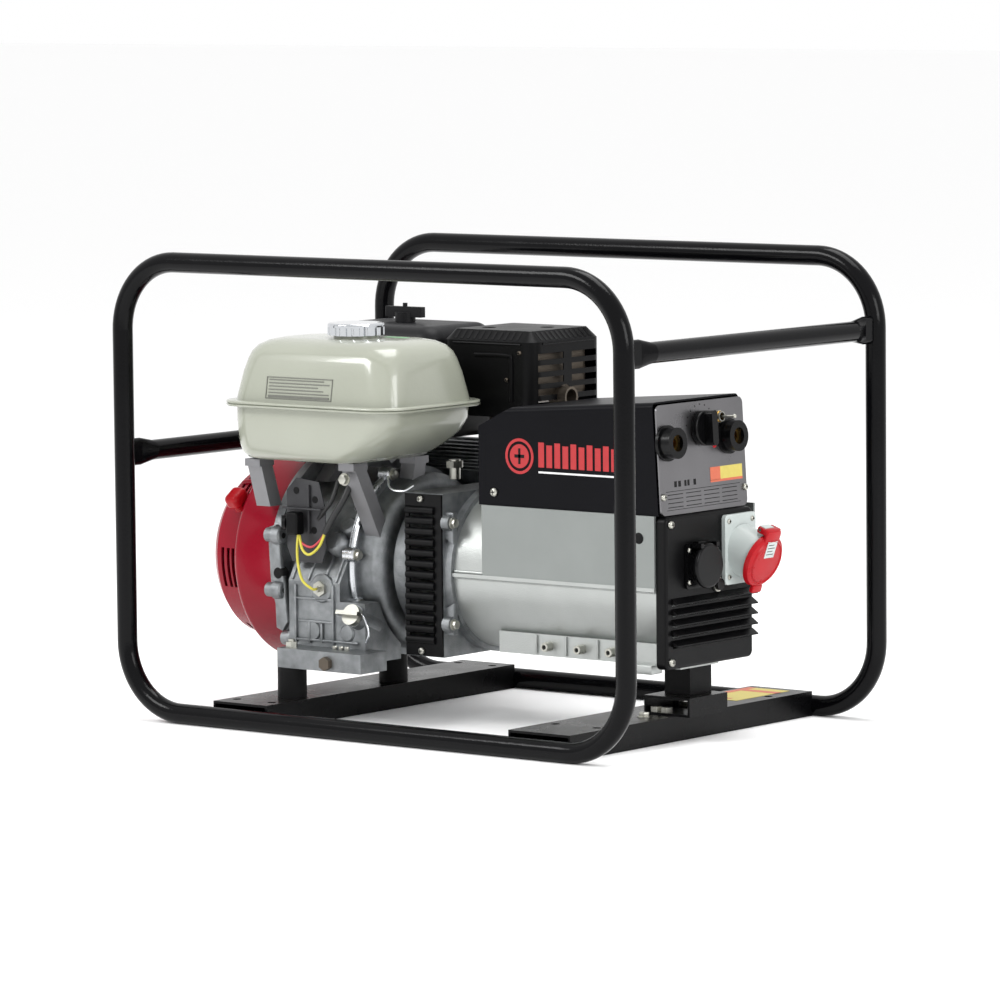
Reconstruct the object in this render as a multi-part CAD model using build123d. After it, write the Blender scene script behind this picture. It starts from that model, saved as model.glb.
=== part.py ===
from build123d import *
import os
from math import cos, sin, radians, pi

# An engine driven welder: a petrol engine turns a welding alternator inside a tube frame.
# Origin: the middle of the footprint, on the floor. +X runs along the crankshaft to the
# socket panel, +Y to the cylinder side, +Z up. Millimetres.

# ---- frame ----
LENGTH = 800
WIDTH = 530
HEIGHT = 580
TUBE_R = 12.5
TUBE_WALL = 2
LOOP_BEND = 85
LOOP_Y = WIDTH / 2 - TUBE_R
SIDE_X = LENGTH / 2 - TUBE_R
LEFT_TUBE_Z = 330
RIGHT_TUBE_Z = 480
FLAT_END = 50
FLAT_HIGH = 34
FLAT_THICK = 10

# ---- base channels ----
CHANNEL_TOP = 31
CHANNEL_FOOT = 0.5
SHEET = 3
LEFT_CHANNEL = (-256, -170)
RIGHT_CHANNEL = (205, 297)
CHANNEL_REACH = 243
HOLE_R = 5.5
LEFT_HOLE_Y = 216
RIGHT_HOLE_Y = 172
HOLE_INSET = 15
STUD_HOLE_R = 4.2

# ---- alternator support ----
BRIDGE_X = (252, 320)
BRIDGE_Y = (-40, 36)
BRIDGE_TOP = 54
BRIDGE_BOLTS = ((263.4, -30), (263.4, 26), (278.6, -30), (278.6, 26))
ALT_FOOT_X = (262, 300)
ALT_FOOT_Y = (-12, 31)
ALT_FOOT_Z = 88

# ---- shaft line ----
CRANK_Z = 190
SHAFT_R = 17.5
RUN_GAP = 0.08
BODY_GAP = 0.4

# ---- engine, along X ----
CASE_OUT = -380
SHROUD_FRONT = -318
SHROUD_BACK = -252
BARREL_LEFT = -240
CRANKCASE_RIGHT = -140
COVER_RIGHT = -98
COVER_R = 118
SUMP_RIGHT = -100
SUMP_TOP = 150
SHROUD_R = 134
SHROUD_WALL = 2.5
SHROUD_BEND = 9
ARM_LONG = 168
ARM_HALF = 58
RECOIL_R = 112
BARREL_R = 112
MOUNT_X = -197
MOUNT_R = 18
MOUNT_Y = (-163, 32)
FOOT_Z = 69
FOOT_TOP = 93
FOOT_X = (-208, -75)
FRONT_Y = -138
INNER_R = 92
CASE_EARS = ((-141, 227), (-141, 159), (-112, 96), (60, 60))
DRAIN_AT = (-128, -178, 79)
DIP_MOUTH = (-112, -145, 135)
DIP_IN = (-112, -108, 120)
SENSOR_AT = (-168, -138, 165)
CYL_TILT = 25
BORE_R = 44
FIN_HALF = 61
FIN_LOW = 105
CYL_X = -138
DECK = 150
HEAD_TOP = 198
ROCKER_TOP = 232
PLUG_ALONG = 172.5

# ---- starter ----
PULLEY_R = 45
ROPE_R = 2
ROPE_X = -332
PULL_ANGLE = 125
GRIP_OUT = 119
ROPE_TAIL = 73

# ---- tank ----
TANK_X = (-295, -10)
TANK_Y = (-195, 8)
TANK_BEND = 45
SEAM_Z = 392
SEAM_LIP = 6
TANK_TOP = 472
TANK_BOTTOM = 322
TANK_WALL = 2
CAP_XY = (-145, -95)

# ---- adapter and alternator ----
ADAPTER = (-60, -3)
ADAPTER_Z = (87, 287)
ALT = (8, 315)
ALT_R = 98
ALT_WALL = 8
END_PLATE = 280
BOX_LOW = 277
BOX_SHOULDER = (97, 396.5)
BOX_CORNER = (310.6, 411.5)
COVER_Y = (-98, 74)
PANEL_LEAN = 3.4
PANEL_MID = (318.2, -12, 342.5)
END_FACE = 330
END_Y = (-98, 76)
END_Z = (94, 276)


def block(x, y, z):
    """An upright box from three (low, high) pairs."""
    size = [b - a for a, b in (x, y, z)]
    middle = [(a + b) / 2 for a, b in (x, y, z)]
    return Pos(*middle) * Box(*size)


def rod(start, end, radius):
    """A round bar between two points."""
    axis = Vector(*end) - Vector(*start)
    return extrude(Plane(origin=start, z_dir=axis) * Circle(radius), axis.length)


def shaft(x, radius, y=0, z=CRANK_Z):
    """A round bar along X between x[0] and x[1]."""
    return rod((x[0], y, z), (x[1], y, z), radius)


def ring(x, outer, inner, y=0, z=CRANK_Z):
    return shaft(x, outer, y, z) - shaft((x[0] - 1, x[1] + 1), inner, y, z)


def upright(x, y, z, radius):
    return rod((x, y, z[0]), (x, y, z[1]), radius)


def hexagon(start, end, across):
    axis = Vector(*end) - Vector(*start)
    return extrude(Plane(origin=start, z_dir=axis) * RegularPolygon(across / 1.732, 6), axis.length)


def profile_x(points, x):
    """A (Y, Z) outline extruded along X."""
    plane = Plane(origin=(x[0], 0, 0), x_dir=(0, 1, 0), z_dir=(1, 0, 0))
    return extrude(plane * make_face(Polyline(*points, close=True)), x[1] - x[0])


def profile_y(points, y):
    """An (X, Z) outline extruded along Y."""
    plane = Plane(origin=(0, y[0], 0), x_dir=(1, 0, 0), z_dir=(0, -1, 0))
    return extrude(plane * make_face(Polyline(*points, close=True)), y[0] - y[1])


def tilted(along, across, x=0):
    """A point given by its distance along the cylinder axis and above it."""
    t = radians(CYL_TILT)
    return (x, along * cos(t) - across * sin(t), CRANK_Z + along * sin(t) + across * cos(t))


def tilted_block(x, along, across):
    """A box lined up with the tilted cylinder."""
    centre = tilted(sum(along) / 2, sum(across) / 2, sum(x) / 2)
    plane = Plane(origin=centre, x_dir=(1, 0, 0), z_dir=Vector(*tilted(1, 0)) - Vector(*tilted(0, 0)))
    return plane * Box(x[1] - x[0], across[1] - across[0], along[1] - along[0])


# ---------------------------------------------------------------- frame

def frame_loop(y):
    """One rounded upright rectangle of round tube, bent from a single length."""
    plane = Plane(origin=(0, y, HEIGHT / 2), x_dir=(1, 0, 0), z_dir=(0, -1, 0))
    path = (plane * RectangleRounded(2 * SIDE_X, HEIGHT - 2 * TUBE_R, LOOP_BEND)).wire()
    section = Plane(origin=path @ 0, z_dir=path % 0)
    outside = sweep(section * Circle(TUBE_R), path=path)
    return outside - sweep(section * Circle(TUBE_R - TUBE_WALL), path=path)


def cross_tube(side, z, loops):
    """A round tube between the loops, pressed flat at both ends and welded on edge."""
    x = side * SIDE_X
    middle = LOOP_Y - FLAT_END
    body = rod((x, -middle, z), (x, middle, z), TUBE_R)
    ends = []
    for s in (-1, 1):
        start = Plane(origin=(x, s * middle, z), x_dir=(1, 0, 0), z_dir=(0, s, 0))
        flat = Plane(origin=(x, s * (middle + FLAT_END * 0.45), z), x_dir=(1, 0, 0), z_dir=(0, s, 0))
        oval = flat * SlotOverall(FLAT_HIGH, FLAT_THICK, rotation=90)
        ends.append(loft([start * Circle(TUBE_R), oval]))
        ends.append(extrude(oval, FLAT_END * 0.55))
    body = body.fuse(*ends)
    for loop in loops:
        body -= loop
    return body


def weld_envelope(y):
    """The solid outside of a loop, used to cope the pieces that meet it."""
    x = SIDE_X
    bars = [rod((-x, y, TUBE_R), (x, y, TUBE_R), TUBE_R)]
    for s in (-1, 1):
        bars.append(rod((s * x, y, 0), (s * x, y, HEIGHT), TUBE_R))
    return bars


def base_channel(x, hole_y, mount_holes, loops):
    """A folded sheet channel, open below, that joins the two loops."""
    reach = CHANNEL_REACH
    body = block(x, (-reach, reach), (CHANNEL_FOOT, CHANNEL_TOP))
    inside = (x[0] + SHEET, x[1] - SHEET)
    body -= block(inside, (-reach - 1, reach + 1), (CHANNEL_FOOT - 1, CHANNEL_TOP - SHEET))
    for s in (-1, 1):
        body -= rod((x[0] - 5, s * LOOP_Y, TUBE_R), (x[1] + 5, s * LOOP_Y, TUBE_R), TUBE_R)
    for hx in (x[0] + HOLE_INSET, x[1] - HOLE_INSET):
        for hy in (-hole_y, hole_y):
            body -= upright(hx, hy, (CHANNEL_TOP - 5, CHANNEL_TOP + 1), HOLE_R)
    for hx, hy in mount_holes:
        body -= upright(hx, hy, (CHANNEL_TOP - 5, CHANNEL_TOP + 1), STUD_HOLE_R)
    for loop in loops:
        body -= loop
    return body


def alternator_bridge():
    """A short rectangular hollow section on the right channel, open at both ends."""
    body = block(BRIDGE_X, BRIDGE_Y, (CHANNEL_TOP, BRIDGE_TOP))
    body -= block((BRIDGE_X[0] + 3, BRIDGE_X[1] - 3), (BRIDGE_Y[0] - 1, BRIDGE_Y[1] + 1),
                  (CHANNEL_TOP + 3, BRIDGE_TOP - 3))
    for bx, by in BRIDGE_BOLTS:
        body -= upright(bx, by, (CHANNEL_TOP - 1, CHANNEL_TOP + 5), STUD_HOLE_R)
    return body


def alternator_foot():
    """The rubber block between the bridge and the alternator."""
    return block(ALT_FOOT_X, ALT_FOOT_Y, (BRIDGE_TOP, ALT_FOOT_Z))


def engine_mounts():
    """Two round rubber mounts under the crankcase foot."""
    pieces = []
    for y in MOUNT_Y:
        pieces.append(upright(MOUNT_X, y, (CHANNEL_TOP, FOOT_Z), MOUNT_R) -
                      upright(MOUNT_X, y, (CHANNEL_TOP - 1, FOOT_Z + 1), 4))
    return Compound(children=pieces)


def mount_bolts():
    """The studs through the rubber mounts and the bolts that hold the bridge."""
    pieces = []
    for y in MOUNT_Y:
        stud = upright(MOUNT_X, y, (CHANNEL_TOP - SHEET - 8, FOOT_TOP + 10), 4)
        stud += hexagon((MOUNT_X, y, CHANNEL_TOP - SHEET - 7), (MOUNT_X, y, CHANNEL_TOP - SHEET), 13)
        stud += hexagon((MOUNT_X, y, FOOT_TOP), (MOUNT_X, y, FOOT_TOP + 7), 13)
        pieces.append(stud)
    for bx, by in BRIDGE_BOLTS:
        bolt = upright(bx, by, (CHANNEL_TOP - SHEET - 8, CHANNEL_TOP + 3), 4)
        bolt += hexagon((bx, by, CHANNEL_TOP - SHEET - 7), (bx, by, CHANNEL_TOP - SHEET), 13)
        bolt += hexagon((bx, by, CHANNEL_TOP + 3), (bx, by, CHANNEL_TOP + 9), 13)
        pieces.append(bolt)
    return Compound(children=pieces)


# ---------------------------------------------------------------- engine block

def crankcase():
    """Cast crankcase with sump, cylinder barrel, cooling fins and the fan-side flange."""
    left = BARREL_LEFT + 18
    body = shaft((BARREL_LEFT, CRANKCASE_RIGHT), BARREL_R)
    body += block((left, CRANKCASE_RIGHT), (FRONT_Y, 66), (FOOT_Z + 7, 172))
    wedge = [(FRONT_Y, 96), (FRONT_Y, 172), (-112, 215), (-60, 190), (-60, 96)]
    body += profile_x(wedge, (left, CRANKCASE_RIGHT))
    body += block((CRANKCASE_RIGHT - 1, SUMP_RIGHT), (FRONT_Y, -70), (FOOT_Z + 7, SUMP_TOP))
    body += block(FOOT_X, (-178, -128), (FOOT_Z, FOOT_TOP))
    body += block((FOOT_X[0], CRANKCASE_RIGHT), (10, 66), (FOOT_Z, FOOT_TOP))
    body += tilted_block((CYL_X - 52, CYL_X + 52), (60, DECK), (-52, 52))
    for k in range(6):
        low = FIN_LOW + 8 * k
        body += tilted_block((CYL_X - FIN_HALF, CYL_X + FIN_HALF), (low, low + 3), (-70, 70))
    flange = shroud_outline((SHROUD_BACK, BARREL_LEFT), 4)
    body += flange - block((SHROUD_BACK, BARREL_LEFT), (-80, 80), (TANK_BOTTOM - 2, HEIGHT))
    for y, z in CASE_EARS:
        body += shaft((SHROUD_BACK, BARREL_LEFT + 12), 9, y, z)
    body += rod(DIP_IN, DIP_MOUTH, 14)
    body -= shaft((BARREL_LEFT + 8, CRANKCASE_RIGHT + 1), INNER_R)
    body -= block((left + 10, CRANKCASE_RIGHT - 8), (FRONT_Y + 8, 56), (FOOT_Z + 15, 164))
    body -= shaft((CRANKCASE_RIGHT, ADAPTER[0]), COVER_R)
    body -= rod(tilted(0, 0, CYL_X), tilted(DECK + 1, 0, CYL_X), BORE_R)
    body -= shaft((SHROUD_BACK - 1, BARREL_LEFT + 10), SHAFT_R + RUN_GAP)
    for y in MOUNT_Y:
        body -= upright(MOUNT_X, y, (FOOT_Z - 1, FOOT_TOP + 1), 4)
        body -= upright(MOUNT_X, y, (FOOT_TOP, FOOT_TOP + 12), 10)
    body -= rod(DRAIN_AT, (DRAIN_AT[0], DRAIN_AT[1] + 14, DRAIN_AT[2]), 6)
    body -= rod(DIP_MOUTH, DIP_IN, 8 + RUN_GAP)
    body -= rod(SENSOR_AT, (SENSOR_AT[0], SENSOR_AT[1] + 12, SENSOR_AT[2]), 5)
    return body


def shroud_outline(x, grow):
    """The fan housing's outline: a circle with an arm that leads air to the cylinder."""
    disc = shaft(x, SHROUD_R + grow)
    arm = tilted_block(x, (0, ARM_LONG + grow), (-ARM_HALF - grow, ARM_HALF + grow))
    return disc + arm


def crankcase_cover():
    """The round bolted cover that closes the shaft side of the crankcase."""
    body = shaft((CRANKCASE_RIGHT + 8, COVER_RIGHT), BARREL_R - 2)
    body = fillet(body.edges().group_by(Axis.X)[-1], 14)
    body += shaft((CRANKCASE_RIGHT, CRANKCASE_RIGHT + 8), COVER_R)
    body -= shaft((CRANKCASE_RIGHT - 1, COVER_RIGHT - 8), INNER_R)
    return body - shaft((COVER_RIGHT - 9, COVER_RIGHT + 1), SHAFT_R + RUN_GAP)


def cylinder_head():
    """Finned head on the tilted barrel, with its two ports and the plug hole."""
    body = tilted_block((CYL_X - 54, CYL_X + 54), (DECK, HEAD_TOP), (-52, 52))
    for k in range(5):
        low = DECK + 3 + 9 * k
        body += tilted_block((CYL_X - FIN_HALF, CYL_X + FIN_HALF), (low, low + 3), (-66, 66))
    body -= rod(tilted(DECK - 1, 0, CYL_X), tilted(DECK + 14, 0, CYL_X), BORE_R - 4)
    body -= rod(tilted(PLUG_ALONG, -67, CYL_X + 20), tilted(PLUG_ALONG, -30, CYL_X + 20), 9)
    return body


def rocker_cover():
    """Pressed steel cover over the valves, with a raised middle."""
    body = tilted_block((CYL_X - 52, CYL_X + 52), (HEAD_TOP, HEAD_TOP + 4), (-44, 44))
    cap = tilted_block((CYL_X - 45, CYL_X + 45), (HEAD_TOP - 8, ROCKER_TOP), (-37, 37))
    cap = fillet(cap.edges(), 7)
    body = body + cap - tilted_block((CYL_X - 60, CYL_X + 60), (HEAD_TOP - 9, HEAD_TOP), (-50, 50))
    return body - tilted_block((CYL_X - 42, CYL_X + 42), (HEAD_TOP - 1, ROCKER_TOP - 9), (-34, 34))


def spark_plug():
    """Plug, rubber cap and lead end in the side of the head."""
    start = tilted(PLUG_ALONG, -66, CYL_X + 20)
    tip = tilted(PLUG_ALONG, -31, CYL_X + 20)
    out = tilted(PLUG_ALONG, -100, CYL_X + 20)
    body = rod(tip, start, 8.6)
    return body + rod(start, out, 11)


# ---------------------------------------------------------------- fan housing and starter

def bowl(front, back, grow, bend):
    """The fan housing's outline as a solid with a rounded front edge."""
    body = shroud_outline((front, back), grow)
    return fillet([e for e in body.edges() if abs(e.center().X - front) < 0.01], bend)


def fan_shroud():
    """The big pressed bowl that covers the flywheel."""
    body = bowl(SHROUD_FRONT, SHROUD_BACK, 0, SHROUD_BEND)
    body -= bowl(SHROUD_FRONT + SHROUD_WALL, SHROUD_BACK + 1, -SHROUD_WALL, SHROUD_BEND - SHROUD_WALL)
    body -= shaft((SHROUD_FRONT - 1, SHROUD_FRONT + 5), RECOIL_R - 4)
    return body


def recoil_case():
    """The starter housing: a dome with louvre slots round its side and face."""
    r = RECOIL_R
    wall = 2.5
    face = CASE_OUT
    outline = [(SHROUD_FRONT, r + 9), (SHROUD_FRONT - 2.5, r + 9), (SHROUD_FRONT - 2.5, r)]
    outline += [(face + 14, r - 5), (face + 4, r - 13), (face, r - 26), (face, 0)]
    outline += [(face + wall, 0), (face + wall, r - 27), (face + 6, r - 15.5)]
    outline += [(face + 15, r - 7.5), (SHROUD_FRONT, r - wall)]
    sheet = Plane(origin=(0, 0, CRANK_Z), x_dir=(1, 0, 0), z_dir=(0, -1, 0))
    body = revolve(sheet * make_face(Polyline(*outline, close=True)), Axis((0, 0, CRANK_Z), (1, 0, 0)))
    body += shaft((face + wall, ROPE_X + 7), 8)
    for k in range(6):
        turn = 60 * k + 7
        for x in (-356, -346, -337.5, -329):
            slot = ring((x - 2.6, x + 2.6), r + 5, r - 16)
            wedge = Plane(origin=(x, 0, CRANK_Z), x_dir=(0, 1, 0), z_dir=(1, 0, 0))
            slot &= extrude(wedge * Rot(0, 0, turn) * Pos(r, 0) * Rectangle(60, 50), 3, both=True)
            body -= slot
        spoke = Plane(origin=(face, 0, CRANK_Z), x_dir=(0, 1, 0), z_dir=(1, 0, 0))
        window = spoke * Rot(0, 0, turn + 30) * Pos(46, 0) * SlotOverall(30, 9)
        body -= extrude(window, 4, both=True)
    body -= rod(rope_point(60), rope_point(GRIP_OUT + 4), ROPE_R + BODY_GAP)
    return body


def rope_point(s):
    """A point on the straight rope, s beyond where it leaves the pulley."""
    a = radians(PULL_ANGLE)
    n = radians(PULL_ANGLE + 90)
    y = PULLEY_R * cos(n) + s * cos(a)
    z = CRANK_Z + PULLEY_R * sin(n) + s * sin(a)
    return (ROPE_X, y, z)


def recoil_pulley():
    """The grooved wheel the starter rope winds on, turning on the housing's post."""
    groove = PULLEY_R - ROPE_R - BODY_GAP
    body = shaft((ROPE_X - 7, ROPE_X + 7), PULLEY_R + 8)
    body -= ring((ROPE_X - 3, ROPE_X + 3), PULLEY_R + 9, groove)
    for k in range(6):
        a = radians(60 * k)
        body -= shaft((ROPE_X - 8, ROPE_X + 8), 8, 26 * cos(a), CRANK_Z + 26 * sin(a))
    return body - shaft((ROPE_X - 8, ROPE_X + 8), 8 + RUN_GAP)


def starter_rope():
    """The straight end of the rope, from inside the housing to the grip."""
    return rod(rope_point(-ROPE_TAIL), rope_point(GRIP_OUT - 12), ROPE_R)


def starter_grip():
    """The hand grip: a rounded bar across the rope with a short neck."""
    a = radians(PULL_ANGLE)
    out = Vector(0, cos(a), sin(a))
    start = rope_point(GRIP_OUT - 12)
    grip = Plane(origin=rope_point(GRIP_OUT + 4), x_dir=(1, 0, 0), z_dir=out) * Box(22, 27, 20)
    grip = fillet(grip.edges(), 7)
    neck = extrude(Plane(origin=start, z_dir=out) * Circle(8), 14, taper=-8)
    return grip + neck


def flywheel():
    """Flywheel with a ring of fan blades on its outer face and the starter cup."""
    body = shaft((-296, -268), 108)
    body += ring((-314, -296), 42, 37)
    for k in range(16):
        turn = 360 / 16 * k
        blade = Pos(-303, 78, 0) * Box(14, 46, 3)
        body += Pos(0, 0, CRANK_Z) * Rot(turn, 0, 0) * blade
    return body - shaft((-297, -260), SHAFT_R - 2)


def crankshaft():
    """Main shaft with two crank webs and the offset pin between them."""
    r = SHAFT_R
    body = shaft((-296, -268), r - 2)
    body += shaft((-268, -194), r)
    for x in ((-194, -172), (-128, -106)):
        web = shaft(x, 58)
        web -= block((x[0] - 1, x[1] + 1), (-60, -34), (CRANK_Z - 60, CRANK_Z + 60))
        body += web
    body += shaft((-172, -128), 19, 32)
    body += shaft((-106, -30), r)
    return body


# ---------------------------------------------------------------- tank

def tank_body(inset, z, grow_top):
    """A rounded block that tapers away from the seam."""
    x = (TANK_X[0] + SEAM_LIP + inset, TANK_X[1] - SEAM_LIP - inset)
    y = (TANK_Y[0] + SEAM_LIP + inset, TANK_Y[1] - SEAM_LIP - inset)
    corner = TANK_BEND - SEAM_LIP - inset
    centre = (sum(x) / 2, sum(y) / 2, SEAM_Z)
    plane = Plane(origin=centre, x_dir=(1, 0, 0), z_dir=(0, 0, 1 if z > 0 else -1))
    face = plane * RectangleRounded(x[1] - x[0], y[1] - y[0], corner)
    body = extrude(face, abs(z), taper=grow_top)
    far = SEAM_Z + z
    edge = [e for e in body.edges() if abs(e.center().Z - far) < 0.01]
    return fillet(edge, 22 - inset)


def seam_lip(z):
    x = sum(TANK_X) / 2
    y = sum(TANK_Y) / 2
    face = RectangleRounded(TANK_X[1] - TANK_X[0], TANK_Y[1] - TANK_Y[0], TANK_BEND)
    return extrude(Pos(x, y, z[0]) * face, z[1] - z[0])


def fuel_tank_upper():
    """Upper pressing of the tank with its filler neck."""
    body = tank_body(0, TANK_TOP - SEAM_Z, 11) + seam_lip((SEAM_Z, SEAM_Z + 2))
    body += upright(*CAP_XY, (TANK_TOP - 6, TANK_TOP + 3), 29)
    body -= tank_body(TANK_WALL, TANK_TOP - SEAM_Z - TANK_WALL, 11)
    return body - upright(*CAP_XY, (TANK_TOP - 12, TANK_TOP + 4), 24)


def fuel_tank_lower():
    """Lower pressing of the tank."""
    body = tank_body(0, TANK_BOTTOM - SEAM_Z, 7) + seam_lip((SEAM_Z - 2, SEAM_Z))
    body -= tank_body(TANK_WALL, TANK_BOTTOM - SEAM_Z + TANK_WALL, 7)
    return body


def fuel_cap():
    """Turned cap with a scalloped rim."""
    low = TANK_TOP + 3 + BODY_GAP
    body = upright(*CAP_XY, (low, low + 15), 35)
    body = fillet(body.edges().group_by(Axis.Z)[-1], 3)
    for k in range(14):
        a = 2 * pi * k / 14
        body -= upright(CAP_XY[0] + 39 * cos(a), CAP_XY[1] + 39 * sin(a), (low - 1, low + 10), 7)
    plug = upright(*CAP_XY, (low - 8, low), 24 - BODY_GAP)
    return body + plug


def tank_brackets():
    """Cast arms that carry the tank on the crankcase."""
    pieces = []
    arms = (
        (-258, -150, -136, 262),
        (-116, -140, -96, 228),
        (-228, -30, -60, 288),
        (-118, -20, -30, 288),
    )
    for x, y_top, y_low, z_low in arms:
        top = block((x - 12, x + 12), (y_top - 12, y_top + 15), (TANK_BOTTOM - 9, TANK_BOTTOM))
        arm = profile_x([(y_top - 9, TANK_BOTTOM - 5), (y_top + 12, TANK_BOTTOM - 5),
                         (y_low + 16, z_low), (y_low - 6, z_low)], (x - 11, x + 11))
        pieces.append(top + arm)
    return pieces


# ---------------------------------------------------------------- intake and exhaust

AIR_X = (-300, -116)
AIR_Y = (16, 150)
AIR_Z = (338, 384, 478)
KNOB_XY = (-214, 84)


def air_cleaner_base():
    """Lower tray of the air cleaner with the stud for its cover."""
    body = block(AIR_X, AIR_Y, (AIR_Z[0], AIR_Z[1]))
    body = fillet(body.edges().filter_by(Axis.Z), 26)
    body = fillet(body.edges().group_by(Axis.Z)[0], 8)
    inner = block((AIR_X[0] + 3, AIR_X[1] - 3), (AIR_Y[0] + 3, AIR_Y[1] - 3), (AIR_Z[0] + 3, AIR_Z[1] + 1))
    inner = fillet(inner.edges().filter_by(Axis.Z), 23)
    body -= inner
    body += upright(*KNOB_XY, (AIR_Z[0], AIR_Z[2] + 24), 3)
    return body - upright(-224, 120, (AIR_Z[0] - 1, AIR_Z[0] + 4), 12)


def air_cleaner_cover():
    """Moulded cover with a crowned top."""
    body = block(AIR_X, AIR_Y, (AIR_Z[1], AIR_Z[2]))
    body = fillet(body.edges().filter_by(Axis.Z), 26)
    body = fillet(body.edges().group_by(Axis.Z)[-1], 20)
    inner = block((AIR_X[0] + 3, AIR_X[1] - 3), (AIR_Y[0] + 3, AIR_Y[1] - 3), (AIR_Z[1] - 1, AIR_Z[2] - 3))
    inner = fillet(inner.edges().filter_by(Axis.Z), 23)
    inner = fillet(inner.edges().group_by(Axis.Z)[-1], 17)
    return body - inner - upright(*KNOB_XY, (AIR_Z[2] - 5, AIR_Z[2] + 1), 3)


def air_cleaner_knob():
    """Wing knob on the stud."""
    x, y = KNOB_XY
    z = AIR_Z[2] + BODY_GAP
    body = upright(x, y, (z, z + 12), 13)
    body += block((x - 29, x + 29), (y - 5, y + 5), (z + 6, z + 19))
    body = fillet(body.edges().filter_by(Axis.Z), 1.5)
    return body - upright(x, y, (z - 1, z + 30), 3 + RUN_GAP)


CARB_X = (-238, -203)
CARB_Y = (102, 138)
CARB_Z = (282, 338)
LEVER_Y = (152, 156)
CHOKE_AT = (-214, 326)
TAP_AT = (-214, 300)


def carburettor():
    """Carburettor between the air cleaner and the head, with its neck to the port."""
    body = block(CARB_X, CARB_Y, CARB_Z)
    body -= upright(-224, 120, (300, CARB_Z[1] + 1), 12)
    body += shaft((CARB_X[1], CYL_X - FIN_HALF), 15, 120, 304)
    for x, z in (CHOKE_AT, TAP_AT):
        body += rod((x, CARB_Y[1], z), (x, LEVER_Y[1] + 2, z), 3)
    return body


def small_lever(x, z):
    """A flat lever on a spindle that sticks out of the carburettor."""
    body = rod((x, LEVER_Y[0], z), (x, LEVER_Y[1], z), 8)
    body += block((x - 52, x), LEVER_Y, (z - 4, z + 4))
    body += rod((x - 52, LEVER_Y[0], z), (x - 52, LEVER_Y[1] + 6, z), 4)
    return body - rod((x, LEVER_Y[0] - 1, z), (x, LEVER_Y[1] + 1, z), 3 + RUN_GAP)


MUF_X = (-92, 34)
MUF_Y = (26, 142)
MUF_Z = (388, 462)
GUARD_X = (-100, 44)
GUARD_Y = (14, 154)
GUARD_Z = (372, 478)
GUARD_BEND = 17
GUARD_SLOPE = 13
TAIL = (78, 395)


def muffler():
    """The pressed muffler can with its inlet pipe from the head and its outlet."""
    body = block(MUF_X, MUF_Y, MUF_Z)
    body = fillet(body.edges(), 16)
    inlet = tilted(DECK + 22, 60, CYL_X + 40)
    body += rod((-74, 100, 400), (-74, 100, 350), 15)
    body += rod((-74, 100, 354), inlet, 14)
    body += shaft((MUF_X[1] - 6, GUARD_X[1] + 10), 13, *TAIL)
    body -= shaft((MUF_X[1] - 2, GUARD_X[1] + 19), 10, *TAIL)
    return body


def guard_shape(grow):
    """The guard's outside, or its inside when grow is negative."""
    x = (GUARD_X[0] - grow, GUARD_X[1] + grow)
    y = (GUARD_Y[0] - grow, GUARD_Y[1] + grow)
    body = block(x, y, (GUARD_Z[0] - 1 if grow < 0 else GUARD_Z[0], GUARD_Z[1] + grow))
    body = fillet(body.edges().filter_by(Axis.Z), GUARD_BEND + grow)
    return chamfer(body.edges().group_by(Axis.Z)[-1], GUARD_SLOPE)


def muffler_guard():
    """Slotted heat guard round the muffler."""
    body = guard_shape(0) - guard_shape(-1.5)
    slot_z = [GUARD_Z[1] - 31 - 14.5 * k for k in range(5)]
    for z in slot_z:
        for y in ((GUARD_Y[0] + 12, GUARD_Y[0] + 62), (GUARD_Y[0] + 78, GUARD_Y[1] - 12)):
            body -= block((GUARD_X[1] - 5, GUARD_X[1] + 1), y, (z - 4, z + 4))
    body -= shaft((GUARD_X[1] - 5, GUARD_X[1] + 1), 16, *TAIL)
    for x, y in ((-60, 60), (0, 100)):
        body -= upright(x, y, (GUARD_Z[1] - 4, GUARD_Z[1] + 1), 9)
    return body


# ---------------------------------------------------------------- engine fittings

SWITCH_X = (-207, -189)
SWITCH_Y = (-161, -145)
SWITCH_Z = (231, 259)


def engine_switch_box():
    body = block(SWITCH_X, SWITCH_Y, SWITCH_Z)
    body = fillet(body.edges(), 3)
    return body


def engine_switch_knob():
    """Rotary stop switch on the starter side of its box."""
    y = sum(SWITCH_Y) / 2
    z = sum(SWITCH_Z) / 2
    x = SWITCH_X[0] - BODY_GAP
    body = shaft((x - 5, x), 9, y, z)
    return body + block((x - 10, x - 5), (y - 3, y + 3), (z - 9, z + 9))


def dipstick():
    """Oil filler cap with a tab handle and the stick behind it."""
    start = Vector(*DIP_MOUTH)
    axis = (start - Vector(*DIP_IN)).normalized()
    plane = Plane(origin=start + axis * BODY_GAP, x_dir=(1, 0, 0), z_dir=axis)
    body = extrude(plane * Circle(13), 7)
    body += plane * Pos(0, 0, 11) * Box(34, 5, 9)
    stick = Plane(origin=start + axis * BODY_GAP, x_dir=(1, 0, 0), z_dir=-axis)
    return body + extrude(stick * Circle(8), 32)


def drain_plug():
    x, y, z = DRAIN_AT
    body = hexagon((x, y, z), (x, y - 7, z), 15)
    return body + rod((x, y, z), (x, y + 12, z), 6)


def oil_switch():
    """Low-oil sensor nut with its cable gland."""
    x, y, z = SENSOR_AT
    body = hexagon((x, y, z), (x, y - 7, z), 17) + rod((x, y, z), (x, y + 10, z), 5)
    return body + rod((x, y - 7, z), (x, y - 13, z), 4)


def lead(points, radius):
    """An insulated lead swept along a smooth route."""
    path = FilletPolyline(*points, radius=8)
    return sweep(Plane(origin=points[0], z_dir=path % 0) * Circle(radius), path=path)


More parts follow.
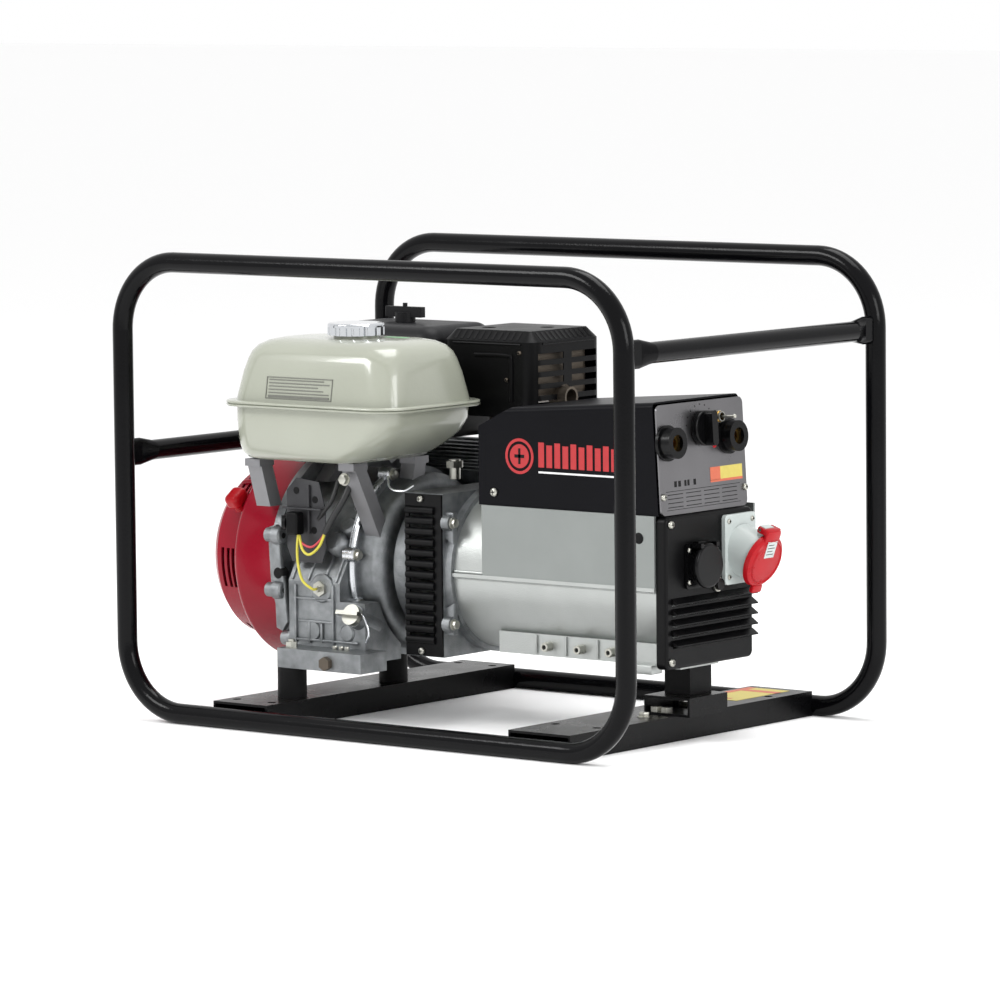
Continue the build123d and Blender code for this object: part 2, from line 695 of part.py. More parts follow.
def engine_leads():
    """Sensor lead and stop-switch leads clipped to the front of the crankcase."""
    x, y, z = SENSOR_AT
    box_y = sum(SWITCH_Y) / 2
    under = SWITCH_Z[0]
    sensor = [(-193, box_y, under), (-194, box_y, 200), (-188, y - 18, 176), (x, y - 28, z + 2), (x, y - 13, z)]
    stop = [(-201, box_y, under), (-199, box_y, under - 12), (-180, box_y, 208), (-160, box_y + 2, 226),
            (-150, box_y + 8, 250), (-140, -118, 290)]
    return [lead(sensor, 2), lead(stop, 2.5)]


def fuel_pipe():
    """Fuel outlet under the tank and the hose that leads back to the tap."""
    body = upright(-44, -30, (TANK_BOTTOM - 24, TANK_BOTTOM), 7)
    return body + hexagon((-44, -30, TANK_BOTTOM - 10), (-44, -30, TANK_BOTTOM - 2), 19)


# ---------------------------------------------------------------- adapter

GRILLE_X = (-60, -3.5)
GRILLE_Z = (88, 286)
GRILLE_BACK = 105
LOUVRE_X = (-58, -14)
LOUVRES = 13
ADAPTER_EARS = ((-100, 252), (-100, 128), (100, 252), (100, 128))
NECK = (92, 60)
NECK_FRONT = -92


def adapter_housing():
    """Square cast housing between engine and alternator, open at its two sides."""
    left, right = ADAPTER
    low, high = ADAPTER_Z
    h = GRILLE_BACK
    body = block(ADAPTER, (-h, h), ADAPTER_Z)
    body -= block((left + 6, right - 6), (-h - 1, h + 1), (low + 9, high - 9))
    body -= shaft((right - 7, right + 1), ALT_R - ALT_WALL)
    body += ring((right - 1, ALT[0]), ALT_R + 6, ALT_R - ALT_WALL)
    for y, z in ADAPTER_EARS:
        body += shaft((right, ALT[0]), 10, y, z)
    body += shaft((NECK_FRONT, left + 1), NECK[0]) + shaft((COVER_RIGHT, NECK_FRONT), 75)
    return body - shaft((COVER_RIGHT - 1, left + 7), NECK[1])


def grille(side):
    """One louvred plate on a side of the adapter, with rounded louvres that stand out."""
    y = sorted((side * GRILLE_BACK, side * (GRILLE_BACK + 3)))
    body = block(GRILLE_X, y, GRILLE_Z)
    pitch = (GRILLE_Z[1] - GRILLE_Z[0] - 26) / LOUVRES
    for k in range(LOUVRES):
        z = GRILLE_Z[0] + 13 + pitch * (k + 0.5)
        bar = rod((LOUVRE_X[0], side * (GRILLE_BACK + 2), z), (LOUVRE_X[1], side * (GRILLE_BACK + 2), z), 5)
        body += bar - block(ADAPTER, (-GRILLE_BACK, GRILLE_BACK), ADAPTER_Z)
        if k:
            gap = z - pitch / 2
            body -= block((LOUVRE_X[0] + 4, LOUVRE_X[1]), (y[0] - 5, y[1] + 5), (gap - 1.8, gap + 1.8))
    return body


def adapter_grilles():
    return Compound(children=[grille(-1), grille(1)])


# ---------------------------------------------------------------- alternator

def alternator_housing():
    """Cast barrel with a seam rib down each side and a foot rail below."""
    body = ring(ALT, ALT_R, ALT_R - ALT_WALL)
    for s in (-1, 1):
        rib = sorted((s * 94, s * 102))
        body += block(ALT, rib, (CRANK_Z - 3, CRANK_Z + 1.5))
        rail = sorted((s * 52, s * 76))
        body += block((60, ALT[1]), rail, (96, 122)) - shaft(ALT, ALT_R - 1)
    body += block((220, ALT[1] - 8), (-40, 36), (ALT_FOOT_Z, 97))
    body -= shaft((ALT[0] - 1, ALT[1] + 1), ALT_R - ALT_WALL)
    return body + ring((END_PLATE, END_PLATE + 12), ALT_R - ALT_WALL, SHAFT_R - 2 + RUN_GAP)


def alternator_side_plates():
    """Flat plates that close the space between the barrel and the control box."""
    pieces = []
    for s in (-1, 1):
        y = sorted((s * ALT_R, s * (ALT_R + 3)))
        pieces.append(block((54, ALT[1]), y, (CRANK_Z + 1.5, BOX_LOW)))
    return Compound(children=pieces)


def stator():
    """Laminated stator ring pressed into the barrel."""
    body = ring((70, 250), ALT_R - ALT_WALL, 62)
    for k in range(12):
        a = 2 * pi * k / 12
        body -= shaft((69, 251), 6, 62 * cos(a), CRANK_Z + 62 * sin(a))
    return body


def rotor():
    """Salient rotor on its shaft, with the cooling fan at the engine end."""
    body = shaft((74, 246), 58)
    for s in (-1, 1):
        body -= block((73, 247), sorted((s * 34, s * 60)), (CRANK_Z - 14, CRANK_Z + 14))
    body += shaft((-30, 298), SHAFT_R - 2)
    fan = shaft((20, 24), 84)
    for k in range(12):
        blade = Pos(33, 68, 0) * Box(18, 30, 2.5)
        fan += Pos(0, 0, CRANK_Z) * Rot(30 * k, 0, 0) * blade
    return body + fan


def control_box():
    """Folded sheet cover over the alternator, sloped at the engine end."""
    slope = [(48, BOX_LOW), (48, 372), BOX_SHOULDER, BOX_CORNER, (319, BOX_LOW)]
    body = profile_y(slope, COVER_Y)
    long_edges = [e for e in body.edges() if e.center().Z > BOX_SHOULDER[1] and e.length > 200]
    body = fillet(long_edges, 7)
    inner = [(50, BOX_LOW - 1), (50, 371), (BOX_SHOULDER[0] + 1, BOX_SHOULDER[1] - 2)]
    inner += [(320, 410), (320, BOX_LOW - 1)]
    body -= profile_y(inner, (COVER_Y[0] + 2, COVER_Y[1] - 2))
    return body - shaft((ALT[0], END_FACE), ALT_R)


def panel_plane():
    """A plane on the leaning front of the control panel, x across and y up."""
    lean = radians(PANEL_LEAN)
    return Plane(origin=PANEL_MID, x_dir=(0, 1, 0), z_dir=(cos(lean), 0, sin(lean)))


PANEL_HALF = (86, 65.5)
DINSE_AT = ((-70, 20), (52, 20))
SELECT_AT = (0, 33)
TOGGLE_AT = (33.5, 44.5)
PANEL_SCREWS = ((-81, -43.5), (81, -43.5))


def control_panel():
    """Stainless front plate with its cut-outs."""
    width = 2 * PANEL_HALF[0]
    high = 2 * PANEL_HALF[1]
    plate = RectangleRounded(width, high, 8)
    for x, y in DINSE_AT:
        plate -= Pos(x, y) * Circle(13)
    plate -= Pos(*SELECT_AT) * Circle(5 + BODY_GAP)
    plate -= Pos(*TOGGLE_AT) * Circle(6)
    return extrude(panel_plane() * plate, 2)


def weld_sockets():
    """Black insulating bodies of the two welding current sockets."""
    pieces = []
    for x, y in DINSE_AT:
        front = panel_plane() * Pos(x, y, 2)
        back = panel_plane() * Pos(x, y, 0)
        body = extrude(front * Circle(21.5), 4) + extrude(front * Circle(18.5), 18)
        body += extrude(panel_plane() * Pos(x, y, -14) * Circle(13), 16)
        body -= extrude(panel_plane() * Pos(x, y, -15) * Circle(10), 36)
        pieces.append(body)
    return Compound(children=pieces)


def weld_contacts():
    """Brass contact sleeves with the keyed bore."""
    pieces = []
    for x, y in DINSE_AT:
        base = panel_plane() * Pos(x, y, -26)
        body = extrude(base * Circle(10), 38)
        bore = Circle(6.6) + Pos(0, 7) * Rectangle(4.5, 5)
        body -= extrude(panel_plane() * Pos(x, y, -20) * bore, 40)
        pieces.append(body)
    return Compound(children=pieces)


def selector_knob():
    """Rotary current selector with a raised pointer grip."""
    base = panel_plane() * Pos(*SELECT_AT, 2 + BODY_GAP)
    body = extrude(base * Circle(21), 9)
    body = fillet(body.edges(), 2)
    grip = extrude(panel_plane() * Pos(*SELECT_AT, 6) * SlotOverall(42, 11, rotation=90), 18)
    stem = extrude(panel_plane() * Pos(*SELECT_AT, -16) * Circle(5), 22)
    return body + grip + stem


def toggle_bush():
    """Threaded bush and nut of the toggle switch."""
    body = extrude(panel_plane() * Pos(*TOGGLE_AT, -14) * Circle(6), 24)
    body += extrude(panel_plane() * Pos(*TOGGLE_AT, 2) * RegularPolygon(8.5, 6), 3)
    return body - extrude(panel_plane() * Pos(*TOGGLE_AT, -8) * Circle(5), 20)


def toggle_lever():
    """The toggle bat, pivoting inside its bush."""
    plane = panel_plane() * Pos(*TOGGLE_AT, -2)
    return extrude(plane * Circle(1.6), 30) + panel_plane() * Pos(*TOGGLE_AT, 28) * Sphere(2.6)


def panel_screws():
    """Screws of the panel, the box and the end cover, and the housing bolts."""
    pieces = []
    for x, y in PANEL_SCREWS:
        pieces.append(extrude(panel_plane() * Pos(x, y, 2) * Circle(4), 2.2))
    for z in (END_Z[0] + 9, END_Z[1] - 9):
        pieces.append(shaft((END_FACE, END_FACE + 2.5), 4.5, END_Y[0] + 9, z))
    pieces.append(rod((72, COVER_Y[0], 293), (72, COVER_Y[0] - 2.2, 293), 5))
    for x in (137, 187, 234):
        pieces.append(rod((x, -76, 108), (x, -83, 108), 6))
    for side in (-1, 1):
        y = side * (GRILLE_BACK + 3)
        for z in (GRILLE_Z[0] + 6, GRILLE_Z[1] - 6):
            pieces.append(rod((-35, y, z), (-35, y + side * 2.5, z), 4))
    return Compound(children=pieces)


# ---------------------------------------------------------------- socket end

SCHUKO = (-36, 215)
SCHUKO_R = 29
SCHUKO_BARREL = 21.5
CEE = (48, 226)
CEE_LID_R = 34
CEE_BARREL = 30
CEE_HINGE = (38, 26)
BREAKER = (2, 188.5)
CEE_TILT = 20
BUTTON_R = 7
LOUVRE_Y = (-88, 74)


def end_cover():
    """Moulded cover on the free end of the alternator, with air louvres."""
    body = block((ALT[1], END_FACE), END_Y, END_Z)
    body = fillet(body.edges().filter_by(Axis.X), 8)
    body = fillet(body.edges().group_by(Axis.X)[-1], 4)
    body -= block((ALT[1] - 1, END_FACE - 3), (END_Y[0] + 3, END_Y[1] - 3), (END_Z[0] + 3, END_Z[1] - 3))
    for k in range(5):
        z = 176 - 12.5 * k
        side = [(END_FACE - 1, z - 1), (END_FACE, z + 3), (END_FACE + 9, z - 3), (END_FACE + 9, z - 4.5)]
        side.append((END_FACE - 1, z - 4))
        louvre = profile_y(side, LOUVRE_Y)
        cut = block((END_FACE - 6, END_FACE + 1), (LOUVRE_Y[0] + 2, LOUVRE_Y[1] - 3), (z - 7, z - 4))
        body = body + louvre - cut
    body -= shaft((END_FACE - 8, END_FACE + 20), 24, *SCHUKO)
    body -= shaft((END_FACE - 8, END_FACE + 20), 26, *CEE)
    body -= shaft((END_FACE - 8, END_FACE + 20), 8.6, *BREAKER)
    return body


def schuko_socket():
    """Round two-pole socket body with a square flange."""
    y, z = SCHUKO
    body = block((END_FACE, END_FACE + 4), (y - 27, y + 27), (z - 27, z + 27))
    body = fillet(body.edges().filter_by(Axis.X), 5)
    body += shaft((END_FACE - 24, END_FACE + 14), SCHUKO_BARREL, y, z)
    body += block((END_FACE + 3, END_FACE + 11), (y - 12, y + 12), (z + 21, z + 29))
    body -= shaft((END_FACE - 18, END_FACE + 15), 18.5, y, z)
    return body - rod((END_FACE + 8, y - 13, z + 25), (END_FACE + 8, y + 13, z + 25), 1.5 + RUN_GAP)


def schuko_lid():
    """Round sprung lid of the two-pole socket, with its hinge pin."""
    y, z = SCHUKO
    front = END_FACE + 14 + BODY_GAP
    body = shaft((front, front + 5), SCHUKO_R - 2, y, z)
    body = fillet(body.edges().group_by(Axis.X)[-1], 3)
    for low in (-18, 12.5):
        body += block((END_FACE + 6, front + 5), (y + low, y + low + 5.5), (z + 22, z + 27.5))
    return body + rod((END_FACE + 8, y - 18, z + 25), (END_FACE + 8, y + 18, z + 25), 1.5)


def cee_axis():
    """The industrial socket's plane: it leans down and away from the panel."""
    t = radians(CEE_TILT)
    return Plane(origin=(END_FACE + 4, CEE[0], CEE[1]), x_dir=(0, 1, 0), z_dir=(cos(t), 0, -sin(t)))


def cee_socket():
    """White industrial socket: flange and a leaning round barrel."""
    y, z = CEE
    body = block((END_FACE, END_FACE + 5), (y - 35, y + 27), (z - 40, z + 44))
    body = fillet(body.edges().filter_by(Axis.X), 5)
    barrel = extrude(cee_axis() * Pos(0, 0, -8) * Circle(CEE_BARREL), 38)
    barrel -= block((END_FACE - 60, END_FACE + 1), (y - 60, y + 60), (z - 60, z + 60))
    body += barrel
    body += shaft((END_FACE - 26, END_FACE + 1), 25, y, z)
    body -= extrude(cee_axis() * Pos(0, 0, -14) * Circle(24), 60)
    body += hinge_block(-9, 9)
    return body - hinge_bar(-10, 10, 2 + RUN_GAP)


def hinge_bar(x0, x1, radius):
    """The lid hinge pin above the industrial socket."""
    across = cee_axis() * Pos(x0, CEE_HINGE[0], CEE_HINGE[1]) * Rot(0, 90, 0)
    return extrude(across * Circle(radius), x1 - x0)


def hinge_block(x0, x1):
    body = cee_axis() * Pos((x0 + x1) / 2, 34, 25) * Box(x1 - x0, 14, 9)
    return body - extrude(cee_axis() * Pos(0, 0, -8) * Circle(CEE_BARREL - 1), 60)


def cee_lid():
    """Red sprung lid with two hinge ears and a lifting lip."""
    front = 30 + BODY_GAP
    body = extrude(cee_axis() * Pos(0, 0, front) * Circle(CEE_LID_R), 10)
    for x in (-12.25, 12.25):
        body += cee_axis() * Pos(x, CEE_HINGE[0], (front + 10 + 22) / 2) * Box(5.5, 12, front - 12)
    body += cee_axis() * Pos(0, -36, front + 5) * Box(20, 10, 8)
    return body + hinge_bar(-15, 15, 2)


def breaker_button():
    """Push button of the thermal cut-out."""
    y, z = BREAKER
    return shaft((END_FACE - 8, END_FACE + 7), BUTTON_R, y, z)


def breaker_bush():
    y, z = BREAKER
    body = shaft((END_FACE - 10, END_FACE), 8.6, y, z) + shaft((END_FACE, END_FACE + 3), 9, y, z)
    return body - shaft((END_FACE - 20, END_FACE + 10), BUTTON_R + BODY_GAP, y, z)


NODES = {}


def add(name, shape):
    if isinstance(shape, list):
        shape = Compound(children=shape)
    NODES[name] = shape


def build():
    envelope = weld_envelope(-LOOP_Y) + weld_envelope(LOOP_Y)
    loops = [frame_loop(-LOOP_Y), frame_loop(LOOP_Y)]
    add("front_loop", loops[0])
    add("rear_loop", loops[1])
    add("left_cross_tube", cross_tube(-1, LEFT_TUBE_Z, envelope + loops))
    add("right_cross_tube", cross_tube(1, RIGHT_TUBE_Z, envelope + loops))
    mounts = [(MOUNT_X, y) for y in MOUNT_Y]
    add("left_base_channel", base_channel(LEFT_CHANNEL, LEFT_HOLE_Y, mounts, loops))
    add("right_base_channel", base_channel(RIGHT_CHANNEL, RIGHT_HOLE_Y, BRIDGE_BOLTS, loops))
    add("alternator_bridge", alternator_bridge())
    add("alternator_foot", alternator_foot())
    add("engine_mounts", engine_mounts())
    add("mount_bolts", mount_bolts())
    case = crankcase()
    add("crankcase", case)
    cover = crankcase_cover()
    add("crankcase_cover", cover)
    head = cylinder_head()
    add("cylinder_head", head)
    add("rocker_cover", rocker_cover())
    add("spark_plug", spark_plug())
    add("fan_shroud", fan_shroud())
    add("recoil_case", recoil_case())
    add("recoil_pulley", recoil_pulley())
    add("starter_rope", starter_rope())
    add("starter_grip", starter_grip())
    add("flywheel", flywheel())
    add("crankshaft", crankshaft())
    add("fuel_tank_upper", fuel_tank_upper())
    add("fuel_tank_lower", fuel_tank_lower())
    add("fuel_cap", fuel_cap())
    add("tank_brackets", [(b - case - cover).solids().sort_by(SortBy.VOLUME)[-1] for b in tank_brackets()])
    add("fuel_pipe", fuel_pipe())
    add("air_cleaner_base", air_cleaner_base())
    add("air_cleaner_cover", air_cleaner_cover())
    add("air_cleaner_knob", air_cleaner_knob())
    add("carburettor", carburettor())
    add("choke_lever", small_lever(*CHOKE_AT))
    add("fuel_valve_lever", small_lever(*TAP_AT))
    add("muffler", muffler() - head)
    add("muffler_guard", muffler_guard())
    add("engine_switch_box", engine_switch_box())
    add("engine_switch_knob", engine_switch_knob())
    add("dipstick", dipstick())
    add("drain_plug", drain_plug())
    add("oil_switch", oil_switch())
    add("engine_leads", [w - engine_switch_box() - oil_switch() for w in engine_leads()])
    add("adapter_housing", adapter_housing())
    add("adapter_grilles", adapter_grilles())
    add("alternator_housing", alternator_housing())
    add("alternator_side_plates", alternator_side_plates())
    add("stator", stator())
    add("rotor", rotor())
    add("control_box", control_box())
    add("control_panel", control_panel())
    add("weld_sockets", weld_sockets())
    add("weld_contacts", weld_contacts())
    add("selector_knob", selector_knob())
    add("toggle_lever", toggle_lever())
    add("panel_fittings", [panel_screws(), toggle_bush(), breaker_bush()])
    add("end_cover", end_cover())
    add("schuko_socket", schuko_socket())
    add("schuko_lid", schuko_lid())
    add("cee_socket", cee_socket())
    add("cee_lid", cee_lid())
    add("breaker_button", breaker_button())


build()
os.makedirs("parts", exist_ok=True)
for name, shape in NODES.items():
    export_step(shape, "parts/" + name + ".step")
print(len(NODES), "nodes")
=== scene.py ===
# %% [markdown]
# # An engine driven welder
# The machine is a petrol engine bolted to a welding alternator, carried in an open frame of
# bent tube. The imported CAD model gives every piece its place and size. This lesson adds what
# the eye reads: paint, castings, rubber, wires, screws and labels. First the frame is loaded.

# %% Load the frame
import bpy
import bmesh
from math import cos, pi, radians, sin
from mathutils import Matrix, Vector


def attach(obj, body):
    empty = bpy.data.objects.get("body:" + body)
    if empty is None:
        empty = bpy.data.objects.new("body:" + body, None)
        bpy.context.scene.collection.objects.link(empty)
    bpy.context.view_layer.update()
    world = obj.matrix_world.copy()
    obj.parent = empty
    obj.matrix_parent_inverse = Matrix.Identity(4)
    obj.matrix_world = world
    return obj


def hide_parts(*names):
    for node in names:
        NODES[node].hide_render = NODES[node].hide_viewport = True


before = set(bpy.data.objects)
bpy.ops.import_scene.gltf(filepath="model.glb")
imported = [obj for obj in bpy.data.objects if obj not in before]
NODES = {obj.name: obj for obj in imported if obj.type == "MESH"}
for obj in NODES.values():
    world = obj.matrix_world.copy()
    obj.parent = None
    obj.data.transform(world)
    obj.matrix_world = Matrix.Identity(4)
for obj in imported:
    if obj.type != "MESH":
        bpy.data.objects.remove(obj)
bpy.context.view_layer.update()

# %% [markdown]
# ## Camera, floor and light
# A long lens from a little above the top rail keeps the two tube loops nearly parallel. A white
# floor and three large soft lamps give gentle highlights, which is what shows the roundness of
# black tube.

# %% Camera
YAW = radians(38.556)
PITCH = radians(5.604)
ROLL = radians(-0.5457)
camera_data = bpy.data.cameras.new("camera")
camera_data.lens = 213.4
camera_data.sensor_width = 36
camera_data.clip_end = 100
camera = bpy.data.objects.new("camera", camera_data)
bpy.context.scene.collection.objects.link(camera)
turn = Matrix.Rotation(YAW, 4, "Z") @ Matrix.Rotation(pi / 2 - PITCH, 4, "X") @ Matrix.Rotation(ROLL, 4, "Z")
camera.matrix_world = Matrix.Translation((4.51087, -5.65669, 0.98145)) @ turn
bpy.context.scene.camera = camera
bpy.context.scene.view_settings.view_transform = "Standard"
print("camera at", camera.matrix_world.translation)


# %% Colours and nodes
def colour(code):
    """An sRGB hex code as linear RGBA."""
    parts = [int(code[i:i + 2], 16) / 255 for i in (0, 2, 4)]
    straight = [c / 12.92 if c <= 0.04045 else ((c + 0.055) / 1.055) ** 2.4 for c in parts]
    return (*straight, 1)


def add(tree, kind, links=None, **settings):
    """Adds a shader node; settings name its properties or, with a leading underscore, inputs."""
    item = tree.nodes.new(kind)
    for name, value in settings.items():
        if name.startswith("_"):
            item.inputs[name[1:].replace("_", " ")].default_value = value
        else:
            setattr(item, name, value)
    for name, source in (links or {}).items():
        tree.links.new(source, item.inputs[name])
    return item


print("white is", colour("ffffff"))


# %% Floor and light
def area_lamp(name, place, target, size, power, tint="ffffff"):
    """A large soft lamp that faces a target."""
    data = bpy.data.lights.new(name, "AREA")
    data.shape = "RECTANGLE"
    data.size, data.size_y = size
    data.energy = power
    data.color = colour(tint)[:3]
    lamp = bpy.data.objects.new(name, data)
    bpy.context.scene.collection.objects.link(lamp)
    aim = (Vector(target) - Vector(place)).to_track_quat("-Z", "Y")
    lamp.matrix_world = Matrix.Translation(place) @ aim.to_matrix().to_4x4()
    return lamp


area_lamp("key_lamp", (-1.6, -2.8, 2.6), (0, 0, 0.3), (1.8, 1.2), 80)
area_lamp("side_lamp", (3.2, -0.6, 1.5), (0, 0, 0.25), (1.4, 1.4), 42)
area_lamp("top_lamp", (0.2, 0.4, 3.0), (0, 0, 0.2), (2.0, 1.4), 50)
world = bpy.data.worlds.new("studio")
world.use_nodes = True
world.node_tree.nodes["Background"].inputs["Color"].default_value = colour("ffffff")
world.node_tree.nodes["Background"].inputs["Strength"].default_value = 1.0
bpy.context.scene.world = world

floor_mesh = bmesh.new()
bmesh.ops.create_grid(floor_mesh, x_segments=1, y_segments=1, size=30)
floor_data = bpy.data.meshes.new("floor")
floor_mesh.to_mesh(floor_data)
floor_mesh.free()
floor = bpy.data.objects.new("floor", floor_data)
bpy.context.scene.collection.objects.link(floor)
floor_paint = bpy.data.materials.new("white_backdrop_paper")
floor_paint.use_nodes = True
floor_shader = floor_paint.node_tree.nodes["Principled BSDF"]
floor_shader.inputs["Base Color"].default_value = colour("fcfcfc")
floor_shader.inputs["Roughness"].default_value = 0.9
floor_data.materials.append(floor_paint)
print("floor and lamps placed")

# %% [markdown]
# ## Finishes
# Every finish on the machine is one recipe with different numbers: a base colour that drifts
# a little over the surface, a roughness that varies with it, and a fine bump at the grain's
# real size. One builder makes them all, so each finish below only says what it is made of and
# how large its grain is in millimetres.


# %% Surface builder
def surface(name, base, drift, rough, metal=0.0, patch=40, grain=1.0, bump=0.1, coat=0.0,
            rough_drift=0.08, dust=0.0, dust_tint="8d8a80", shine=0.5):
    """A procedural finish: patchy colour, varying roughness and a grain given in millimetres."""
    material = bpy.data.materials.new(name)
    material.use_nodes = True
    tree = material.node_tree
    shader = tree.nodes["Principled BSDF"]
    shader.inputs["Metallic"].default_value = metal
    shader.inputs["Specular IOR Level"].default_value = shine
    shader.inputs["Coat Weight"].default_value = coat
    shader.inputs["Coat Roughness"].default_value = 0.08
    place = add(tree, "ShaderNodeTexCoord").outputs["Object"]
    patches = add(tree, "ShaderNodeTexNoise", {"Vector": place}, _Scale=1000 / patch, _Detail=5.0)
    tones = add(tree, "ShaderNodeMix", {"Factor": patches.outputs["Fac"]}, data_type="RGBA")
    tones.inputs["A"].default_value = colour(base)
    tones.inputs["B"].default_value = colour(drift)
    tint = tones.outputs["Result"]
    if dust:
        facing = add(tree, "ShaderNodeNewGeometry").outputs["Normal"]
        split = add(tree, "ShaderNodeSeparateXYZ", {"Vector": facing})
        settled = add(tree, "ShaderNodeMapRange", {"Value": split.outputs["Z"]})
        settled.inputs["From Min"].default_value = 0.4
        settled.inputs["To Max"].default_value = dust
        film = add(tree, "ShaderNodeMix", {"Factor": settled.outputs["Result"], "A": tint}, data_type="RGBA")
        film.inputs["B"].default_value = colour(dust_tint)
        tint = film.outputs["Result"]
    tree.links.new(tint, shader.inputs["Base Color"])
    worn = add(tree, "ShaderNodeMapRange", {"Value": patches.outputs["Fac"]})
    worn.inputs["To Min"].default_value = rough - rough_drift
    worn.inputs["To Max"].default_value = rough + rough_drift
    tree.links.new(worn.outputs["Result"], shader.inputs["Roughness"])
    fine = add(tree, "ShaderNodeTexNoise", {"Vector": place}, _Scale=1000 / grain, _Detail=3.0)
    relief = add(tree, "ShaderNodeBump", {"Height": fine.outputs["Fac"]}, _Strength=bump)
    relief.inputs["Distance"].default_value = grain / 1000
    tree.links.new(relief.outputs["Normal"], shader.inputs["Normal"])
    return material


# %% [markdown]
# The tube has a thick black stoving enamel: deep and glossy, with the faint orange peel that
# sprayed enamel keeps. The folded sheet is the same colour but flatter. The cream tank and
# red covers are car-like enamel over smooth pressings, so they get a clear coat.

# %% Paints
TUBE_ENAMEL = surface("black_stoving_enamel", "040405", "08080a", 0.14, patch=60, grain=3, bump=0.05,
                      shine=0.12)
SHEET_PAINT = surface("satin_black_sheet_paint", "08080b", "0d0d11", 0.34, patch=70, grain=0.8, bump=0.12,
                      shine=0.07)
CHANNEL_PAINT = surface("black_channel_paint", "050506", "0a0a0b", 0.28, patch=45, grain=1.5, bump=0.12,
                        dust=0.02, shine=0.12)
GUARD_PAINT = surface("heat_proof_black", "040405", "09090a", 0.36, patch=35, grain=0.7, bump=0.15, shine=0.1)
RED_ENAMEL = surface("red_enamel", "7c0a1c", "8c1024", 0.24, patch=80, grain=4, bump=0.04, coat=0.1,
                     shine=0.12)
CREAM_ENAMEL = surface("cream_enamel", "8f9285", "999c8f", 0.24, patch=120, grain=5, bump=0.03, coat=0.5)
SILVER_PAINT = surface("silver_paint", "77777a", "88888a", 0.42, metal=0.6, patch=25, grain=1.2, bump=0.2)
BAFFLE_PAINT = surface("grey_sheet_paint", "2c2c2f", "3a3a3c", 0.4, metal=0.3, patch=20, grain=1.0,
                       bump=0.15, shine=0.4)

# %% [markdown]
# Cast aluminium leaves its mould with a sandy skin, so it scatters light and has no sharp
# reflection. Where it was machined flat it is bright. Rolled stainless steel has fine parallel
# scratches. Plated steel is cooler and smoother.

# %% Metals
CAST_ALUMINIUM = surface("sand_cast_aluminium", "505355", "a4a7a9", 0.36, metal=0.9, patch=16, grain=1.3,
                         bump=0.6)
BARREL_ALUMINIUM = surface("barrel_casting", "a0a3a1", "b4b7b5", 0.38, metal=0.85, patch=45, grain=1.4,
                           bump=0.3)
PLATE_ALUMINIUM = surface("rolled_sheet_aluminium", "7e8280", "8b8f8d", 0.36, metal=0.7, patch=60,
                          grain=1.0, bump=0.15)
BRIGHT_ALUMINIUM = surface("machined_aluminium", "b9bcbf", "c9cbce", 0.26, metal=1.0, patch=10, grain=0.5,
                           bump=0.12)
ZINC_STEEL = surface("zinc_plated_steel", "a3a39c", "b5b4ab", 0.32, metal=1.0, patch=6, grain=0.6, bump=0.1)
CHROME_PLATE = surface("chrome_plate", "c9ccd0", "dadde0", 0.09, metal=1.0, patch=15, grain=2, bump=0.03,
                       rough_drift=0.04)
BRASS = surface("yellow_brass", "b48d48", "c6a25c", 0.3, metal=1.0, patch=8, grain=0.6, bump=0.1)
MUFFLER_STEEL = surface("heat_stained_steel", "4c4740", "6a6055", 0.5, metal=0.8, patch=14, grain=1.0,
                        bump=0.2)
STAINLESS = surface("brushed_stainless", "6b6a6c", "7a797b", 0.3, metal=0.95, patch=60, grain=0.6, bump=0.08)

# %% [markdown]
# Plastics are moulded: the black ones are pebbled and dull, the red and white ones smoother.
# Rubber is the dullest black of all and collects dust.

# %% Plastics and rubber
BLACK_PLASTIC = surface("pebbled_black_plastic", "060607", "0b0b0c", 0.36, patch=30, grain=0.9, bump=0.2,
                        shine=0.12)
SMOOTH_BLACK = surface("smooth_black_plastic", "050506", "0a0a0b", 0.24, patch=30, grain=2, bump=0.05,
                       shine=0.16)
FILTER_PLASTIC = surface("filter_housing_plastic", "111113", "1a1a1c", 0.42, patch=30, grain=1.0, bump=0.25,
                         shine=0.16)
RED_PLASTIC = surface("red_moulded_plastic", "980a14", "aa121c", 0.3, patch=20, grain=1.5, bump=0.06,
                      shine=0.2)
WHITE_PLASTIC = surface("white_moulded_plastic", "aeb6b4", "bcc3c1", 0.36, patch=25, grain=1.5, bump=0.06)
RUBBER = surface("black_rubber", "070708", "0d0d0e", 0.55, patch=12, grain=0.7, bump=0.25, dust=0.03,
                 shine=0.15)
YELLOW_WIRE = surface("yellow_insulation", "b8ad2e", "c9c04a", 0.4, patch=15, grain=1, bump=0.05)
RED_WIRE = surface("red_insulation", "b2323c", "c04750", 0.4, patch=15, grain=1, bump=0.05)
BLACK_WIRE = surface("black_sleeving", "101011", "1a1a1b", 0.5, patch=15, grain=1, bump=0.1)
ROPE_CORD = surface("braided_cord", "b8b5aa", "cfccc2", 0.8, patch=3, grain=1.2, bump=0.6)

# %% [markdown]
# Printed colours are inks on film: flat, but a little worn, with the film's soft sheen.

